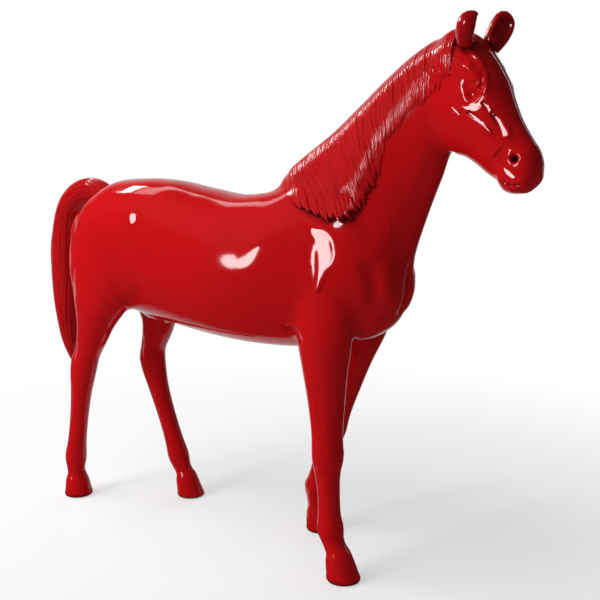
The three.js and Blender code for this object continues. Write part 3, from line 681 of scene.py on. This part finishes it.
def sculpt_head(skin):
    """Brow, eye, cheek, nasal planes, nostril and mouth."""
    tree = skin.tree()
    ridge = [(765, 1975), (796, 1930), (834, 1882), (855, 1838), (864, 1796), (866, 1762)]
    side_press(skin, tree, ridge, 11, 7)
    planish(skin, [(800, 1872, 20), (812, 1846, 30), (820, 1816, 34), (822, 1790, 24)],
            EYE_HOLLOW_FACING, 12, 3)
    side_press(skin, tree, [(836, 1880), (847, 1850), (850, 1822), (846, 1794)], 9, -6)
    skin.update_normals()
    side_press(skin, tree, [(828, 1812)], 13, 2)
    side_press(skin, tree, [(846, 1815)], 20, 8, sides=(LEFT,))
    side_press(skin, tree, [(806, 1816), (822, 1826), (842, 1826)], 4, -2.5)
    skin.update_normals()
    for strip in (
        [(790, 1748, 6), (806, 1742, 12), (826, 1744, 17), (844, 1755, 12), (856, 1778, 6)],
        [(812, 1728, 6), (834, 1712, 9), (858, 1690, 8), (884, 1664, 5)],
        [(858, 1758, 6), (872, 1744, 8), (888, 1722, 7)],
        [(888, 1722, 7), (906, 1697, 10), (926, 1668, 15), (934, 1655, 13)],
        [(742, 1750, 4), (756, 1738, 7), (770, 1726, 5)],
    ):
        planish(skin, strip, CHEEK_FACING)
    side_press(skin, tree, [(900, 1600), (925, 1575)], 26, -4)
    side_press(skin, tree, [(912, 1520)], 22, 6)
    skin.update_normals()
    side_press(skin, tree, [(964, 1578)], 9.5, -27)
    planish(skin, [(934, 1545, 8), (950, 1531, 14), (964, 1520, 10)], MUZZLE_FACING)
    side_press(skin, tree, [(905, 1520), (930, 1501), (960, 1493), (995, 1497)], 4.5, -5)
    side_press(skin, tree, [(930, 1484), (955, 1479)], 14, 3)
    skin.update_normals()


def sculpt_neck_and_chest(skin):
    """Neck muscles, shoulder blade, chest and elbow."""
    tree = skin.tree()
    side_strokes(skin, tree, [
        ([(655, 1640), (596, 1480), (520, 1330), (478, 1230)], 34, -5),
        ([(300, 1500), (380, 1370), (425, 1260)], 40, -5),
        ([(420, 1240), (440, 1160), (432, 1070), (400, 1000)], 38, -11),
        ([(470, 1240), (478, 1150), (465, 1080)], 30, 5),
        ([(140, 1080), (120, 1030)], 70, 5),
        ([(70, 965), (120, 945), (165, 925), (190, 905)], 16, -8),
    ])
    front_press(skin, tree, [(0, 1240), (0, 1120), (0, 1000)], 18, -10)
    for side in (RIGHT, LEFT):
        front_press(skin, tree, [(side * 62, 1200), (side * 68, 1100), (side * 50, 1010)], 36, 7)
    skin.update_normals()
    planish(skin, [(30, 1240, 72), (185, 1235, 75)], BEHIND_SHOULDER_FACING, 14, 2)
    behind = np.hypot(skin.points[:, 0] - 100, skin.points[:, 2] - 1235)
    skin.soften(np.exp(-(behind / 130) ** 4) * (skin.points[:, 2] > 1000), 60)
    planish(skin, [(200, 1324, 14), (230, 1306, 24), (256, 1280, 34), (268, 1245, 36), (262, 1205, 30),
                   (254, 1165, 22), (246, 1115, 10)], SHOULDER_FACING, 12)
    skin.update_normals()


def sculpt_barrel_and_rump(skin):
    """Flank fold, hip, thigh, belly and sheath."""
    tree = skin.tree()
    side_strokes(skin, tree, [
        ([(-815, 975), (-766, 992), (-690, 1020), (-640, 1075)], 26, -9),
        ([(-600, 1130), (-560, 1230)], 60, -4),
        ([(-690, 1372)], 60, 5),
        ([(-1060, 1150), (-1080, 1060), (-1075, 980)], 30, -5),
        ([(-850, 1000), (-905, 930), (-950, 880)], 45, 5),
    ])
    below_press(skin, tree, [(-850, 0), (-760, 0), (-680, 0)], 38, 26)
    below_press(skin, tree, [(-690, 0), (-645, 0)], 20, 9)
    skin.update_normals()
    planish(skin, [(-676, 1370, 22), (-660, 1355, 24)], HIP_FACING, 5)
    skin.update_normals()


def sculpt_legs(skin):
    """Knees, hocks, tendons and fetlocks."""
    for leg in LEGS:
        fore = leg[2] is FORE_ROWS
        knee = 1 if fore else 2
        cannon = [(knee + 0.22, 112), (knee + 0.55, 118), (knee + 0.82, 118)]
        inner = [(at, -angle) for at, angle in cannon]
        strokes = [(cannon, 10, -3), (inner, 10, -3), ([(knee + 1.0, 180)], 20, 5),
                   ([(knee + 1.05, 90)], 20, 2), ([(knee + 1.05, -90)], 20, 2)]
        if fore:
            strokes += [([(0.93, 50), (1.02, 50)], 24, 3), ([(0.93, -50), (1.02, -50)], 24, 3),
                        ([(0.25, 75), (0.5, 82), (0.78, 88)], 16, -3), ([(0.97, 180)], 18, 5)]
        else:
            strokes += [([(1.93, 180)], 20, 8), ([(1.45, 125), (1.7, 128), (1.9, 135)], 15, -5),
                        ([(1.45, -125), (1.7, -128), (1.9, -135)], 15, -5)]
        for line, width, height in strokes:
            leg_press(skin, leg, line, width, height)
    skin.update_normals()


def body_skin():
    """The whole body as one sculpted skin, its head still straight."""
    parts = [body_loft(TRUNK_ROWS), body_loft(NECK_ROWS), body_loft(HEAD_ROWS)]
    for _, side, rows, joints in LEGS:
        parts.append(leg_loft(joints, rows, side))
        parts.append(hoof_loft(joints, side))
    skin = Skin(fused(parts, VOXEL))
    skin.relax(6)
    z = skin.points[:, 2]
    broad = skin.hollows(260, 16) * smooth_step(820, 900, z)
    skin.soften(broad, 150)
    low = skin.hollows(90, 5) * (1 - smooth_step(860, 900, skin.points[:, 2]))
    skin.soften(low, 20)
    skin.relax(12)
    sculpt_barrel_and_rump(skin)
    sculpt_neck_and_chest(skin)
    sculpt_legs(skin)
    skin = refined(skin, skin.points[:, 0] > HEAD_REFINED_FROM)
    skin.relax(5, smooth_step(HEAD_REFINED_FROM, HEAD_REFINED_FROM + 40, skin.points[:, 0]))
    skin = refined(skin, face_details(skin.points))
    skin.relax(3, face_details(skin.points) * 1.0)
    sculpt_head(skin)
    skin.relax(2)
    return skin


def face_details(points):
    """Whether places lie by an eye, a nostril or the mouth."""
    x, _, z = points.T
    by_cheek = (x > 735) & (x < 960) & (z > 1640) & (z < 1870) & (np.abs(points[:, 1]) > 40)
    by_mouth = (x > 885) & (z < 1641)
    return by_cheek | by_mouth


# Splitting the skin at the seams of the shells

def side_of_seam(points, seam):
    """Distance ahead of the plane through a seam's two points."""
    (x_top, z_top), (x_low, z_low) = seam
    length = math.hypot(x_top - x_low, z_top - z_low)
    normal = np.array([(z_top - z_low) / length, 0, -(x_top - x_low) / length])
    return (points - [x_low, 0, z_low]) @ normal, normal


def split_at(mesh, point, normal):
    """Cuts a mesh's faces along a plane and keeps both sides."""
    shape = bmesh.new()
    shape.from_mesh(mesh)
    everything = shape.verts[:] + shape.edges[:] + shape.faces[:]
    bmesh.ops.bisect_plane(shape, geom=everything, dist=0.01, plane_co=point, plane_no=normal)
    shape.to_mesh(mesh)
    shape.free()


def piece_names(centres):
    """Names of the pieces that places on the skin belong to."""
    x, y, z = centres.T
    side = np.where(y > 0, SIDE_NAMES[LEFT], SIDE_NAMES[RIGHT])
    ahead_of_neck_seam = side_of_seam(centres, NECK_SEAM)[0] > 0
    ahead_of_head_seam = (side_of_seam(centres, HEAD_SEAM)[0] > 0) & (x > TURN_START)
    shell = np.where(ahead_of_head_seam, "head", np.where(ahead_of_neck_seam, "neck", "trunk"))
    body = np.char.add(np.char.add(shell, "_shell_"), side)
    away = [leg_distance(leg, centres) for leg in LEGS]
    leg_names = np.array([leg[0] for leg in LEGS])[np.argmin(away, axis=0)]
    part = np.where(z < HOOF_HEIGHT, "hoof_", "leg_")
    return np.where(z < LEG_SEAM_HEIGHT, np.char.add(part, leg_names), body)


def leg_distance(leg, centres):
    """How far places are from a leg's middle, seen from above."""
    line = leg_line(leg[3], leg[1])[1][::-1]
    x = np.interp(centres[:, 2], line[:, 2], line[:, 0])
    y = np.interp(centres[:, 2], line[:, 2], line[:, 1])
    return np.hypot(centres[:, 0] - x, centres[:, 1] - y)


def shown_piece(name, points, faces, normals, material, slot, *nodes):
    """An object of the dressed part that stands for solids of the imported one."""
    mesh = new_mesh(name, points, faces)
    mesh.shade_smooth()
    if normals is not None:
        mesh.normals_split_custom_set_from_vertices(normals)
    mesh.materials.append(material)
    made = new_object(name, mesh)
    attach(made, "root")
    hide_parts(*nodes)
    return made


def split_skin(skin, material):
    """One object for each shell, leg and hoof, with the seams filled smooth."""
    mesh = skin.mesh.copy()
    for seam in (NECK_SEAM, HEAD_SEAM):
        split_at(mesh, (seam[1][0], 0, seam[1][1]), side_of_seam(np.zeros((1, 3)), seam)[1])
    split_at(mesh, (0, 0, 0), (0, 1, 0))
    split_at(mesh, (0, 0, LEG_SEAM_HEIGHT), (0, 0, 1))
    split_at(mesh, (0, 0, HOOF_HEIGHT), (0, 0, 1))
    whole = Skin(mesh)
    groups = whole.faces()
    labels = [piece_names(whole.points[group].mean(axis=1)) for group in groups]
    whole.points = to_frame(whole.points)
    whole.update_normals()
    for name in np.unique(np.concatenate(labels)):
        chosen = [group[label == name] for group, label in zip(groups, labels)]
        used = np.unique(np.concatenate([group.ravel() for group in chosen]))
        local = [np.searchsorted(used, group) for group in chosen if len(group)]
        shown_piece("skin_" + name, whole.points[used], local, whole.normals[used], material, "resin",
                    str(name))


# Ears, mane and tail

def ear_form(side):
    """A leaf-shaped ear with a cup in front."""
    foot = np.array([EAR_FOOT[0], side * EAR_FOOT[1], EAR_FOOT[2]], float)
    tip = np.array([EAR_TIP[0], side * EAR_TIP[1], EAR_TIP[2] + side * EAR_TIP_RAISE], float)
    axis = tip - foot
    unit = axis / np.linalg.norm(axis)
    facing = np.array([1, side * EAR_TURN, 0.0])
    facing -= unit * (facing @ unit)
    facing /= np.linalg.norm(facing)
    across = np.cross(unit, facing)
    share = places([row[0] for row in EAR_ROWS], 10)
    angle = np.linspace(0, 2 * math.pi, 80, endpoint=False)
    rings = []
    for at, (width, shift) in zip(share, row_curve(EAR_ROWS, share)):
        cup = EAR_CUP_DEPTH * smooth_step(0.15, 0.45, at) * (1 - smooth_step(0.72, 0.98, at))
        sunk = np.exp(-(np.cos(angle) / 0.62) ** 4) * smooth_step(0, 0.35, np.sin(angle)) * cup
        out = np.cos(angle) * width * EAR_HALF_WIDTH
        ahead = np.sin(angle) * width * EAR_HALF_DEPTH - sunk
        middle = foot + axis * at + [0, side * shift, 0]
        rings.append(middle + across * out[:, None] + facing * ahead[:, None])
    return closed_loft(rings)


def wander(rng, share, down, cells, length):
    """Smooth random values from -1 to 1 over places across, which may close in a ring, and down."""
    u = share * cells
    v = (down - down.min()) / length
    i, j = np.floor(u).astype(int), np.floor(v).astype(int)
    knots = rng.uniform(-1, 1, (cells, j.max() + 2))
    p, q = smooth_step(0, 1, u - i), smooth_step(0, 1, v - j)
    here, after = i % cells, (i + 1) % cells
    upper = knots[here, j] * (1 - p) + knots[after, j] * p
    lower = knots[here, j + 1] * (1 - p) + knots[after, j + 1] * p
    return upper * (1 - q) + lower * q


def strands(rng, share, down, count, sway, length):
    """Wavy strands side by side: height from 0 in the partings to 1, and how far each one hangs."""
    bent = share * count + sway * wander(rng, share, down, max(count // 5, 3), length)
    number = np.floor(bent).astype(int)
    aside = 2 * (bent - number) - 1
    v = (down - down.min()) / (1.3 * length)
    j = np.floor(v).astype(int)
    q = smooth_step(0, 1, v - j)
    knots = rng.uniform(0, 1, (count, j.max() + 2))
    number %= count
    level = knots[number, j] * (1 - q) + knots[number, j + 1] * q
    tips = rng.uniform(-1, 1, count)[number]
    return (0.3 + 0.7 * level) * np.sqrt(1 - 0.92 * aside ** 2), tips - aside ** 2


def mane_relief(t, reach, along):
    """Height of the locks over the neck, by length down a lock and along the crest."""
    rng = np.random.default_rng(MANE_SEED)
    share = np.broadcast_to(along / along[-1], t.shape)
    kinds = [strands(rng, share, t, *kind) for kind in MANE_STRANDS]
    (clumps, clump_tips), (locks, lock_tips), (fine, _) = kinds
    thick = smooth_step(0.4, 0.62, share)
    low = t / reach
    hem = reach + 12 * clump_tips + 7 * lock_tips
    rim = MANE_THIN + (MANE_HEM - MANE_THIN) * thick
    body = MANE_CREST + (rim - MANE_CREST) * smooth_step(0.1, 0.9, low)
    tufted = smooth_step(0.66, 0.74, share) * (1 - smooth_step(0.9, 0.95, share))
    body = body + MANE_TUFT * tufted * smooth_step(0.72, 0.93, low)
    calm = (0.2 + 0.8 * smooth_step(0, 90, t)) * (1 - 0.7 * (1 - thick) * smooth_step(0.45, 0.95, low))
    relief = calm * (MANE_CLUMP * clumps + MANE_LOCK * locks + MANE_FINE * fine)
    left = smooth_step(-MANE_OVERLAP, -MANE_OVERLAP + 18, t)
    front = along + 14 * clump_tips + 6 * lock_tips
    ends = smooth_step(0, 26, front) * smooth_step(0, 60, along[-1] - along) * left
    tip = np.clip((hem - t) / MANE_TIP, 0, 1)
    relief = (body + relief) * np.sqrt(1 - (1 - tip) ** 2) * ends
    return relief - MANE_SINK * (1 - ends) - np.clip(t - hem, 0, MANE_SINK)


def mane_form(tree):
    """Hanging locks in relief on the right side of the neck."""
    rows, columns = MANE_GRID
    u = np.linspace(0, 1, columns)
    crest_x, crest_z, end_x, end_z = row_curve(MANE_ROWS, u).T
    lengths = np.hypot(np.diff(crest_x), np.diff(crest_z))
    along = np.concatenate([[0], np.cumsum(lengths)])
    sweep = (end_x - crest_x) / (crest_z - end_z)
    reach = crest_z - end_z + MANE_FAN * (math.pi / 2 - 1)
    t = np.linspace(0, 1, rows)[:, None] * (reach + MANE_OVERLAP + MANE_SPARE) - MANE_OVERLAP
    relief = mane_relief(t, reach, along)
    arc = MANE_FAN * math.pi / 2
    theta = np.clip(t / arc, -1, 1) * math.pi / 2
    drop = np.where(t < arc, MANE_FAN * (1 - np.cos(np.clip(theta, 0, None))), MANE_FAN + t - arc)
    centre_z = crest_z - MANE_FAN - np.clip(t - arc, 0, None)
    x = crest_x + sweep * np.clip(drop, 0, None)
    outer = np.empty((rows, columns, 3))
    inner = np.empty((rows, columns, 3))
    for r in range(rows):
        for c in range(columns):
            way = np.array((0, -math.sin(theta[r, c]), math.cos(theta[r, c])))
            start = (x[r, c], 0, centre_z[r, c])
            hit = tree.ray_cast(start, way)[0]
            base = np.array(hit if hit is not None else Vector(start) + Vector(way) * 60)
            outer[r, c] = base + way * relief[r, c]
            inner[r, c] = base - way * MANE_BACKING
    return thick_sheet(outer, inner)


def thick_sheet(outer, inner):
    """Closed form between two grids of points."""
    rows, columns = outer.shape[:2]
    points = np.concatenate([outer.reshape(-1, 3), inner.reshape(-1, 3)])
    half = rows * columns
    grid = np.arange(half).reshape(rows, columns)
    a, b, c, d = grid[:-1, :-1], grid[:-1, 1:], grid[1:, 1:], grid[1:, :-1]
    front = np.stack([a, b, c, d], axis=-1).reshape(-1, 4)
    rim = np.concatenate([grid[0, :], grid[1:, -1], grid[-1, -2::-1], grid[-2:0:-1, 0]])
    after = np.roll(rim, -1)
    wall = np.stack([after, rim, half + rim, half + after], axis=1)
    return faced_out(points, [np.concatenate([front, half + front[:, ::-1], wall])])


def tail_form():
    """A tail of wavy locks that arches from the croup and falls to a point."""
    station = np.linspace(0, 6, TAIL_GRID[0])
    angle = np.linspace(0, 2 * math.pi, TAIL_GRID[1], endpoint=False)
    values, before, after = [row_curve(TAIL_ROWS, station + shift) for shift in (0, -0.08, 0.08)]
    step = np.hypot(np.diff(values[:, 0]), np.diff(values[:, 1]))
    length = np.concatenate([[0], np.cumsum(step)])
    rng = np.random.default_rng(TAIL_SEED)
    share, down = np.meshgrid(angle / (2 * math.pi), length)
    relief = 0
    for height, kind in zip((TAIL_CLUMP, TAIL_LOCK, MANE_FINE), TAIL_STRANDS):
        relief = relief + height * strands(rng, share, down, *kind)[0]
    rings = []
    for k in range(len(station)):
        x, z, front, back, aside = values[k]
        along = np.array([after[k][0] - before[k][0], 0, after[k][1] - before[k][1]])
        along /= np.linalg.norm(along)
        forward = np.array([-along[2], 0, along[0]])
        wave = (relief[k] - TAIL_SET_IN) * min(1, aside / 55)
        radius = np.where(np.cos(angle) > 0, front, back)
        out = np.sin(angle) * (aside + wave)
        ahead = np.cos(angle) * (radius + wave)
        rings.append(np.array([x, 0, z]) + forward * ahead[:, None] + np.array([0, 1, 0]) * out[:, None])
    return closed_loft(rings)


# Materials

# Reach, in metres, of the painted shade that darkens the lacquer's colour in creases and hollows
CREASE_SHADE_REACH = 0.03
BASE_ROUGHNESS = (0.16, 0.26)
STEEL_ROUGHNESS = (0.7, 0.3)
# Noise scale and detail, then bump strength and distance in metres where it also makes relief
CLOUD = (2.3, 5)
HAZE = (9, 6)
ORANGE_PEEL = (60, 2, 0.0012)
FLOW = (15, 3, 0.07, 0.004)
BLOTCH = (22, 7, 0.3, 0.0008)


def feed(tree, node, inputs):
    """Gives a node's inputs their values, or links where the values are sockets."""
    for key, value in inputs.items():
        if isinstance(value, bpy.types.NodeSocket):
            tree.links.new(value, node.inputs[key])
        else:
            node.inputs[key].default_value = value


def add_node(tree, kind, inputs, **settings):
    """The outputs of a new shader node."""
    made = tree.nodes.new("ShaderNode" + kind)
    for key, value in settings.items():
        setattr(made, key, value)
    feed(tree, made, inputs)
    return made.outputs


def noise(tree, scale, detail):
    """A noise in the object's own space."""
    place = add_node(tree, "TexCoord", {})["Object"]
    return add_node(tree, "TexNoise", {"Scale": scale, "Detail": detail, "Vector": place})["Fac"]


def bumped(tree, height, strength, distance, **under):
    """The normal of a relief, laid over the Normal of another where one is given."""
    return add_node(tree, "Bump", {"Strength": strength, "Distance": distance, "Height": height, **under})["Normal"]


def ranged(tree, value, span, target, interpolation="LINEAR"):
    """A value taken from one span to another."""
    inputs = {"Value": value, "From Min": span[0], "From Max": span[1], "To Min": target[0], "To Max": target[1]}
    return add_node(tree, "MapRange", inputs, interpolation_type=interpolation)["Result"]


def maths(tree, operation, first, second):
    """The result of a sum on sockets or numbers."""
    return add_node(tree, "Math", {0: first, 1: second}, operation=operation)["Value"]


def new_material(name):
    """A node material, its tree and its main shader."""
    material = bpy.data.materials.new(name)
    material.use_nodes = True
    return material, material.node_tree, material.node_tree.nodes["Principled BSDF"]


def lacquer(name, colour, deep, peel, polish):
    """Sprayed gloss lacquer over resin: even colour, faint flow marks, and painted shade that darkens the colour in
    creases and hollows.
    """
    material, tree, shader = new_material(name)
    tints = {"A": (*deep, 1), "B": (*colour, 1), "Factor": noise(tree, *CLOUD)}
    tint = add_node(tree, "Mix", tints, data_type="RGBA")["Result"]
    # Painted shade: an ambient-occlusion factor darkens the colour in creases, the nostrils and the eye hollows
    shade = add_node(tree, "AmbientOcclusion", {"Distance": CREASE_SHADE_REACH, "Color": tint})
    crease = {"Factor": 1, "A": shade["Color"], "B": shade["AO"]}
    flow = bumped(tree, noise(tree, *FLOW[:2]), *FLOW[2:])
    feed(tree, shader, {
        "Base Color": add_node(tree, "Mix", crease, data_type="RGBA", blend_type="MULTIPLY")["Result"],
        "Roughness": ranged(tree, noise(tree, *HAZE), (0.3, 0.75), BASE_ROUGHNESS),
        "Normal": bumped(tree, noise(tree, *ORANGE_PEEL[:2]), peel, ORANGE_PEEL[2], Normal=flow),
        "Coat Weight": 1.0,
        "Coat Roughness": polish,
        "Coat IOR": 1.5,
        "IOR": 1.45,
        "Specular IOR Level": 0.0,
    })
    return material


def bare_steel():
    """Welded tube and plate: brushed grey with rusty blooms."""
    material, tree, shader = new_material("frame_steel")
    blotch = noise(tree, *BLOTCH[:2])
    ramp = tree.nodes.new("ShaderNodeValToRGB")
    rust, grey = ramp.color_ramp.elements
    rust.position, rust.color = 0.36, (0.16, 0.07, 0.035, 1)
    grey.position, grey.color = 0.5, (0.33, 0.33, 0.34, 1)
    feed(tree, ramp, {"Fac": blotch})
    feed(tree, shader, {
        "Base Color": ramp.outputs["Color"],
        "Roughness": ranged(tree, blotch, (0, 1), STEEL_ROUGHNESS),
        "Normal": bumped(tree, blotch, *BLOTCH[2:]),
        "Metallic": 0.9,
    })
    return material


# Stage, light and camera

CAMERA = (1.8275, -2.6592, 1.4803)
CAMERA_YAW = math.radians(34.135)
CAMERA_DOWN = math.radians(7.85)
CAMERA_LENS = 48
SENSOR = 36

# Studio: a white backdrop stands behind the horse, and the room on the camera's side is dim.
STAGE = 60
FLOOR_COLOUR = (0.8, 0.8, 0.8)
FLOOR_WHITE = 0.5
ROOM_LEVEL = 0.16
GLOSS_DIM = 0.03
GLOSS_BACKDROP = 0.65
BACKDROP_WAY = (-0.56, 0.83, 0)
LAMP_CENTRE = (0.1, -0.1, 1.2)
LAMP_DISTANCE = 5
FLOOR_FADE = (1.0, 3.6)
FLOOR_MIRRORED = (0.5, 0.9)
WORLD_MIRRORED = (0.62, 0.97)


def backdrop_level(tree, vector, span):
    """Brightness in the gloss: dim on the camera's side, pale towards the backdrop."""
    unit = add_node(tree, "VectorMath", {0: vector}, operation="NORMALIZE")["Vector"]
    along = add_node(tree, "VectorMath", {0: unit, 1: BACKDROP_WAY}, operation="DOT_PRODUCT")["Value"]
    return ranged(tree, along, span, (GLOSS_DIM, GLOSS_BACKDROP), "SMOOTHSTEP")


def build_floor():
    """A white floor that takes the shadow near the horse and fades to the white behind it."""
    corners = [(-STAGE, -STAGE, 0), (STAGE, -STAGE, 0), (STAGE, STAGE, 0), (-STAGE, STAGE, 0)]
    floor = new_object("floor", new_mesh("floor", np.array(corners), [np.array([[0, 1, 2, 3]])]))
    material, tree, shader = new_material("floor_white")
    feed(tree, shader, {"Base Color": (*FLOOR_COLOUR, 1), "Roughness": 0.9, "Specular IOR Level": 0.1})
    path = add_node(tree, "LightPath", {})
    place = add_node(tree, "TexCoord", {})["Object"]
    away = add_node(tree, "VectorMath", {0: place}, operation="LENGTH")["Value"]
    fade = ranged(tree, away, FLOOR_FADE, (FLOOR_WHITE, 1.0), "SMOOTHSTEP")
    seen = maths(tree, "MULTIPLY", fade, path["Is Camera Ray"])
    share = maths(tree, "MAXIMUM", seen, path["Is Glossy Ray"])
    mirrored = backdrop_level(tree, place, FLOOR_MIRRORED)
    gloss = maths(tree, "MULTIPLY", mirrored, path["Is Glossy Ray"])
    strength = maths(tree, "ADD", gloss, path["Is Camera Ray"])
    white = add_node(tree, "Emission", {"Strength": strength})["Emission"]
    mixed = add_node(tree, "MixShader", {"Fac": share, 1: shader.outputs["BSDF"], 2: white})["Shader"]
    feed(tree, tree.nodes["Material Output"], {"Surface": mixed})
    floor.data.materials.append(material)


def build_world():
    """White to the camera, even and pale to the horse, and the backdrop and dim room in its gloss."""
    world = bpy.data.worlds.new("studio")
    bpy.context.scene.world = world
    world.use_nodes = True
    tree = world.node_tree
    path = add_node(tree, "LightPath", {})
    place = add_node(tree, "TexCoord", {})["Generated"]
    mirrored = backdrop_level(tree, place, WORLD_MIRRORED)
    gloss = maths(tree, "MULTIPLY", mirrored, path["Is Glossy Ray"])
    direct = maths(tree, "ADD", gloss, path["Is Camera Ray"])
    other = maths(tree, "ADD", path["Is Glossy Ray"], path["Is Camera Ray"])
    rest = maths(tree, "SUBTRACT", 1, other)
    room = maths(tree, "MULTIPLY", rest, ROOM_LEVEL)
    strength = maths(tree, "ADD", direct, room)
    feed(tree, tree.nodes["Background"], {"Color": (1, 1, 1, 1), "Strength": strength})


def softbox(name, azimuth, elevation, width, height, power, in_gloss=True, distance=LAMP_DISTANCE,
            shape="RECTANGLE"):
    """A flat lamp at an angle round the middle of the horse, pointed at it."""
    lamp = bpy.data.lights.new(name, "AREA")
    lamp.shape = shape
    lamp.size = width
    lamp.size_y = height
    lamp.energy = power
    made = bpy.data.objects.new(name, lamp)
    bpy.context.scene.collection.objects.link(made)
    around, up = math.radians(azimuth), math.radians(elevation)
    way = Vector((math.cos(around) * math.cos(up), math.sin(around) * math.cos(up), math.sin(up)))
    made.location = Vector(LAMP_CENTRE) + way * distance
    made.rotation_euler = way.to_track_quat("Z", "Y").to_euler()
    made.visible_glossy = in_gloss


def build_lights():
    """Hard-edged boxes that the gloss shows, and wide soft ones that it does not."""
    softbox("key_box", -112.5, 19, 2.0, 4.2, 330, distance=12, shape="ELLIPSE")
    softbox("tail_box", 170, 42, 1.2, 0.5, 30)
    softbox("back_band", 166, 50, 2.2, 0.45, 7)
    softbox("front_strip", 57, 20, 0.2, 4.4, 9)
    softbox("soft_key", -142, 48, 3.5, 3.5, 270, in_gloss=False)
    softbox("soft_fill", -125, 6, 3, 3, 30, in_gloss=False)
    softbox("soft_back", 120, 35, 3, 3, 50, in_gloss=False)


def build_camera():
    camera = bpy.data.cameras.new("camera")
    camera.lens = CAMERA_LENS
    camera.sensor_width = SENSOR
    made = bpy.data.objects.new("camera", camera)
    bpy.context.scene.collection.objects.link(made)
    made.location = (CAMERA[0] + SHIFT_X * MM, CAMERA[1], CAMERA[2])
    made.rotation_euler = (math.pi / 2 - CAMERA_DOWN, 0, CAMERA_YAW)
    bpy.context.scene.camera = made


# Assembly

red = lacquer("red_lacquer", (0.50, 0.004, 0.006), (0.42, 0.003, 0.005), 0.05, 0.08)
# Painted shade: the ears take a darker copy of the body's red lacquer, so that they look darker than the body as if
# in shade
ear_red_painted_shade = lacquer("ear_lacquer_painted_shade", (0.34, 0.003, 0.005), (0.27, 0.002, 0.004), 0.05, 0.1)
hair_red = lacquer("hair_lacquer", (0.46, 0.004, 0.006), (0.36, 0.003, 0.005), 0.1, 0.12)
steel = bare_steel()

skin = body_skin()
split_skin(skin, red)
skin_tree = skin.tree()

for side, side_name in SIDE_NAMES.items():
    ear_points, ear_faces = ear_form(side)
    shown_piece("ear_" + side_name + "_skin", to_frame(ear_points), ear_faces, None, ear_red_painted_shade, "resin",
                "ear_" + side_name)
mane_points, mane_faces = mane_form(skin_tree)
shown_piece("mane_locks", to_frame(mane_points), mane_faces, None, hair_red, "hair", "mane")
tail_points, tail_faces = tail_form()
shown_piece("tail_locks", to_frame(tail_points), tail_faces, None, hair_red, "hair", "tail")

for name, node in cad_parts.items():
    if any(word in name for word in ("tube", "crossbar", "plate")):
        node.data.materials.clear()
        node.data.materials.append(steel)

build_floor()
build_world()
build_lights()
build_camera()
bpy.context.scene.view_settings.view_transform = "Standard"
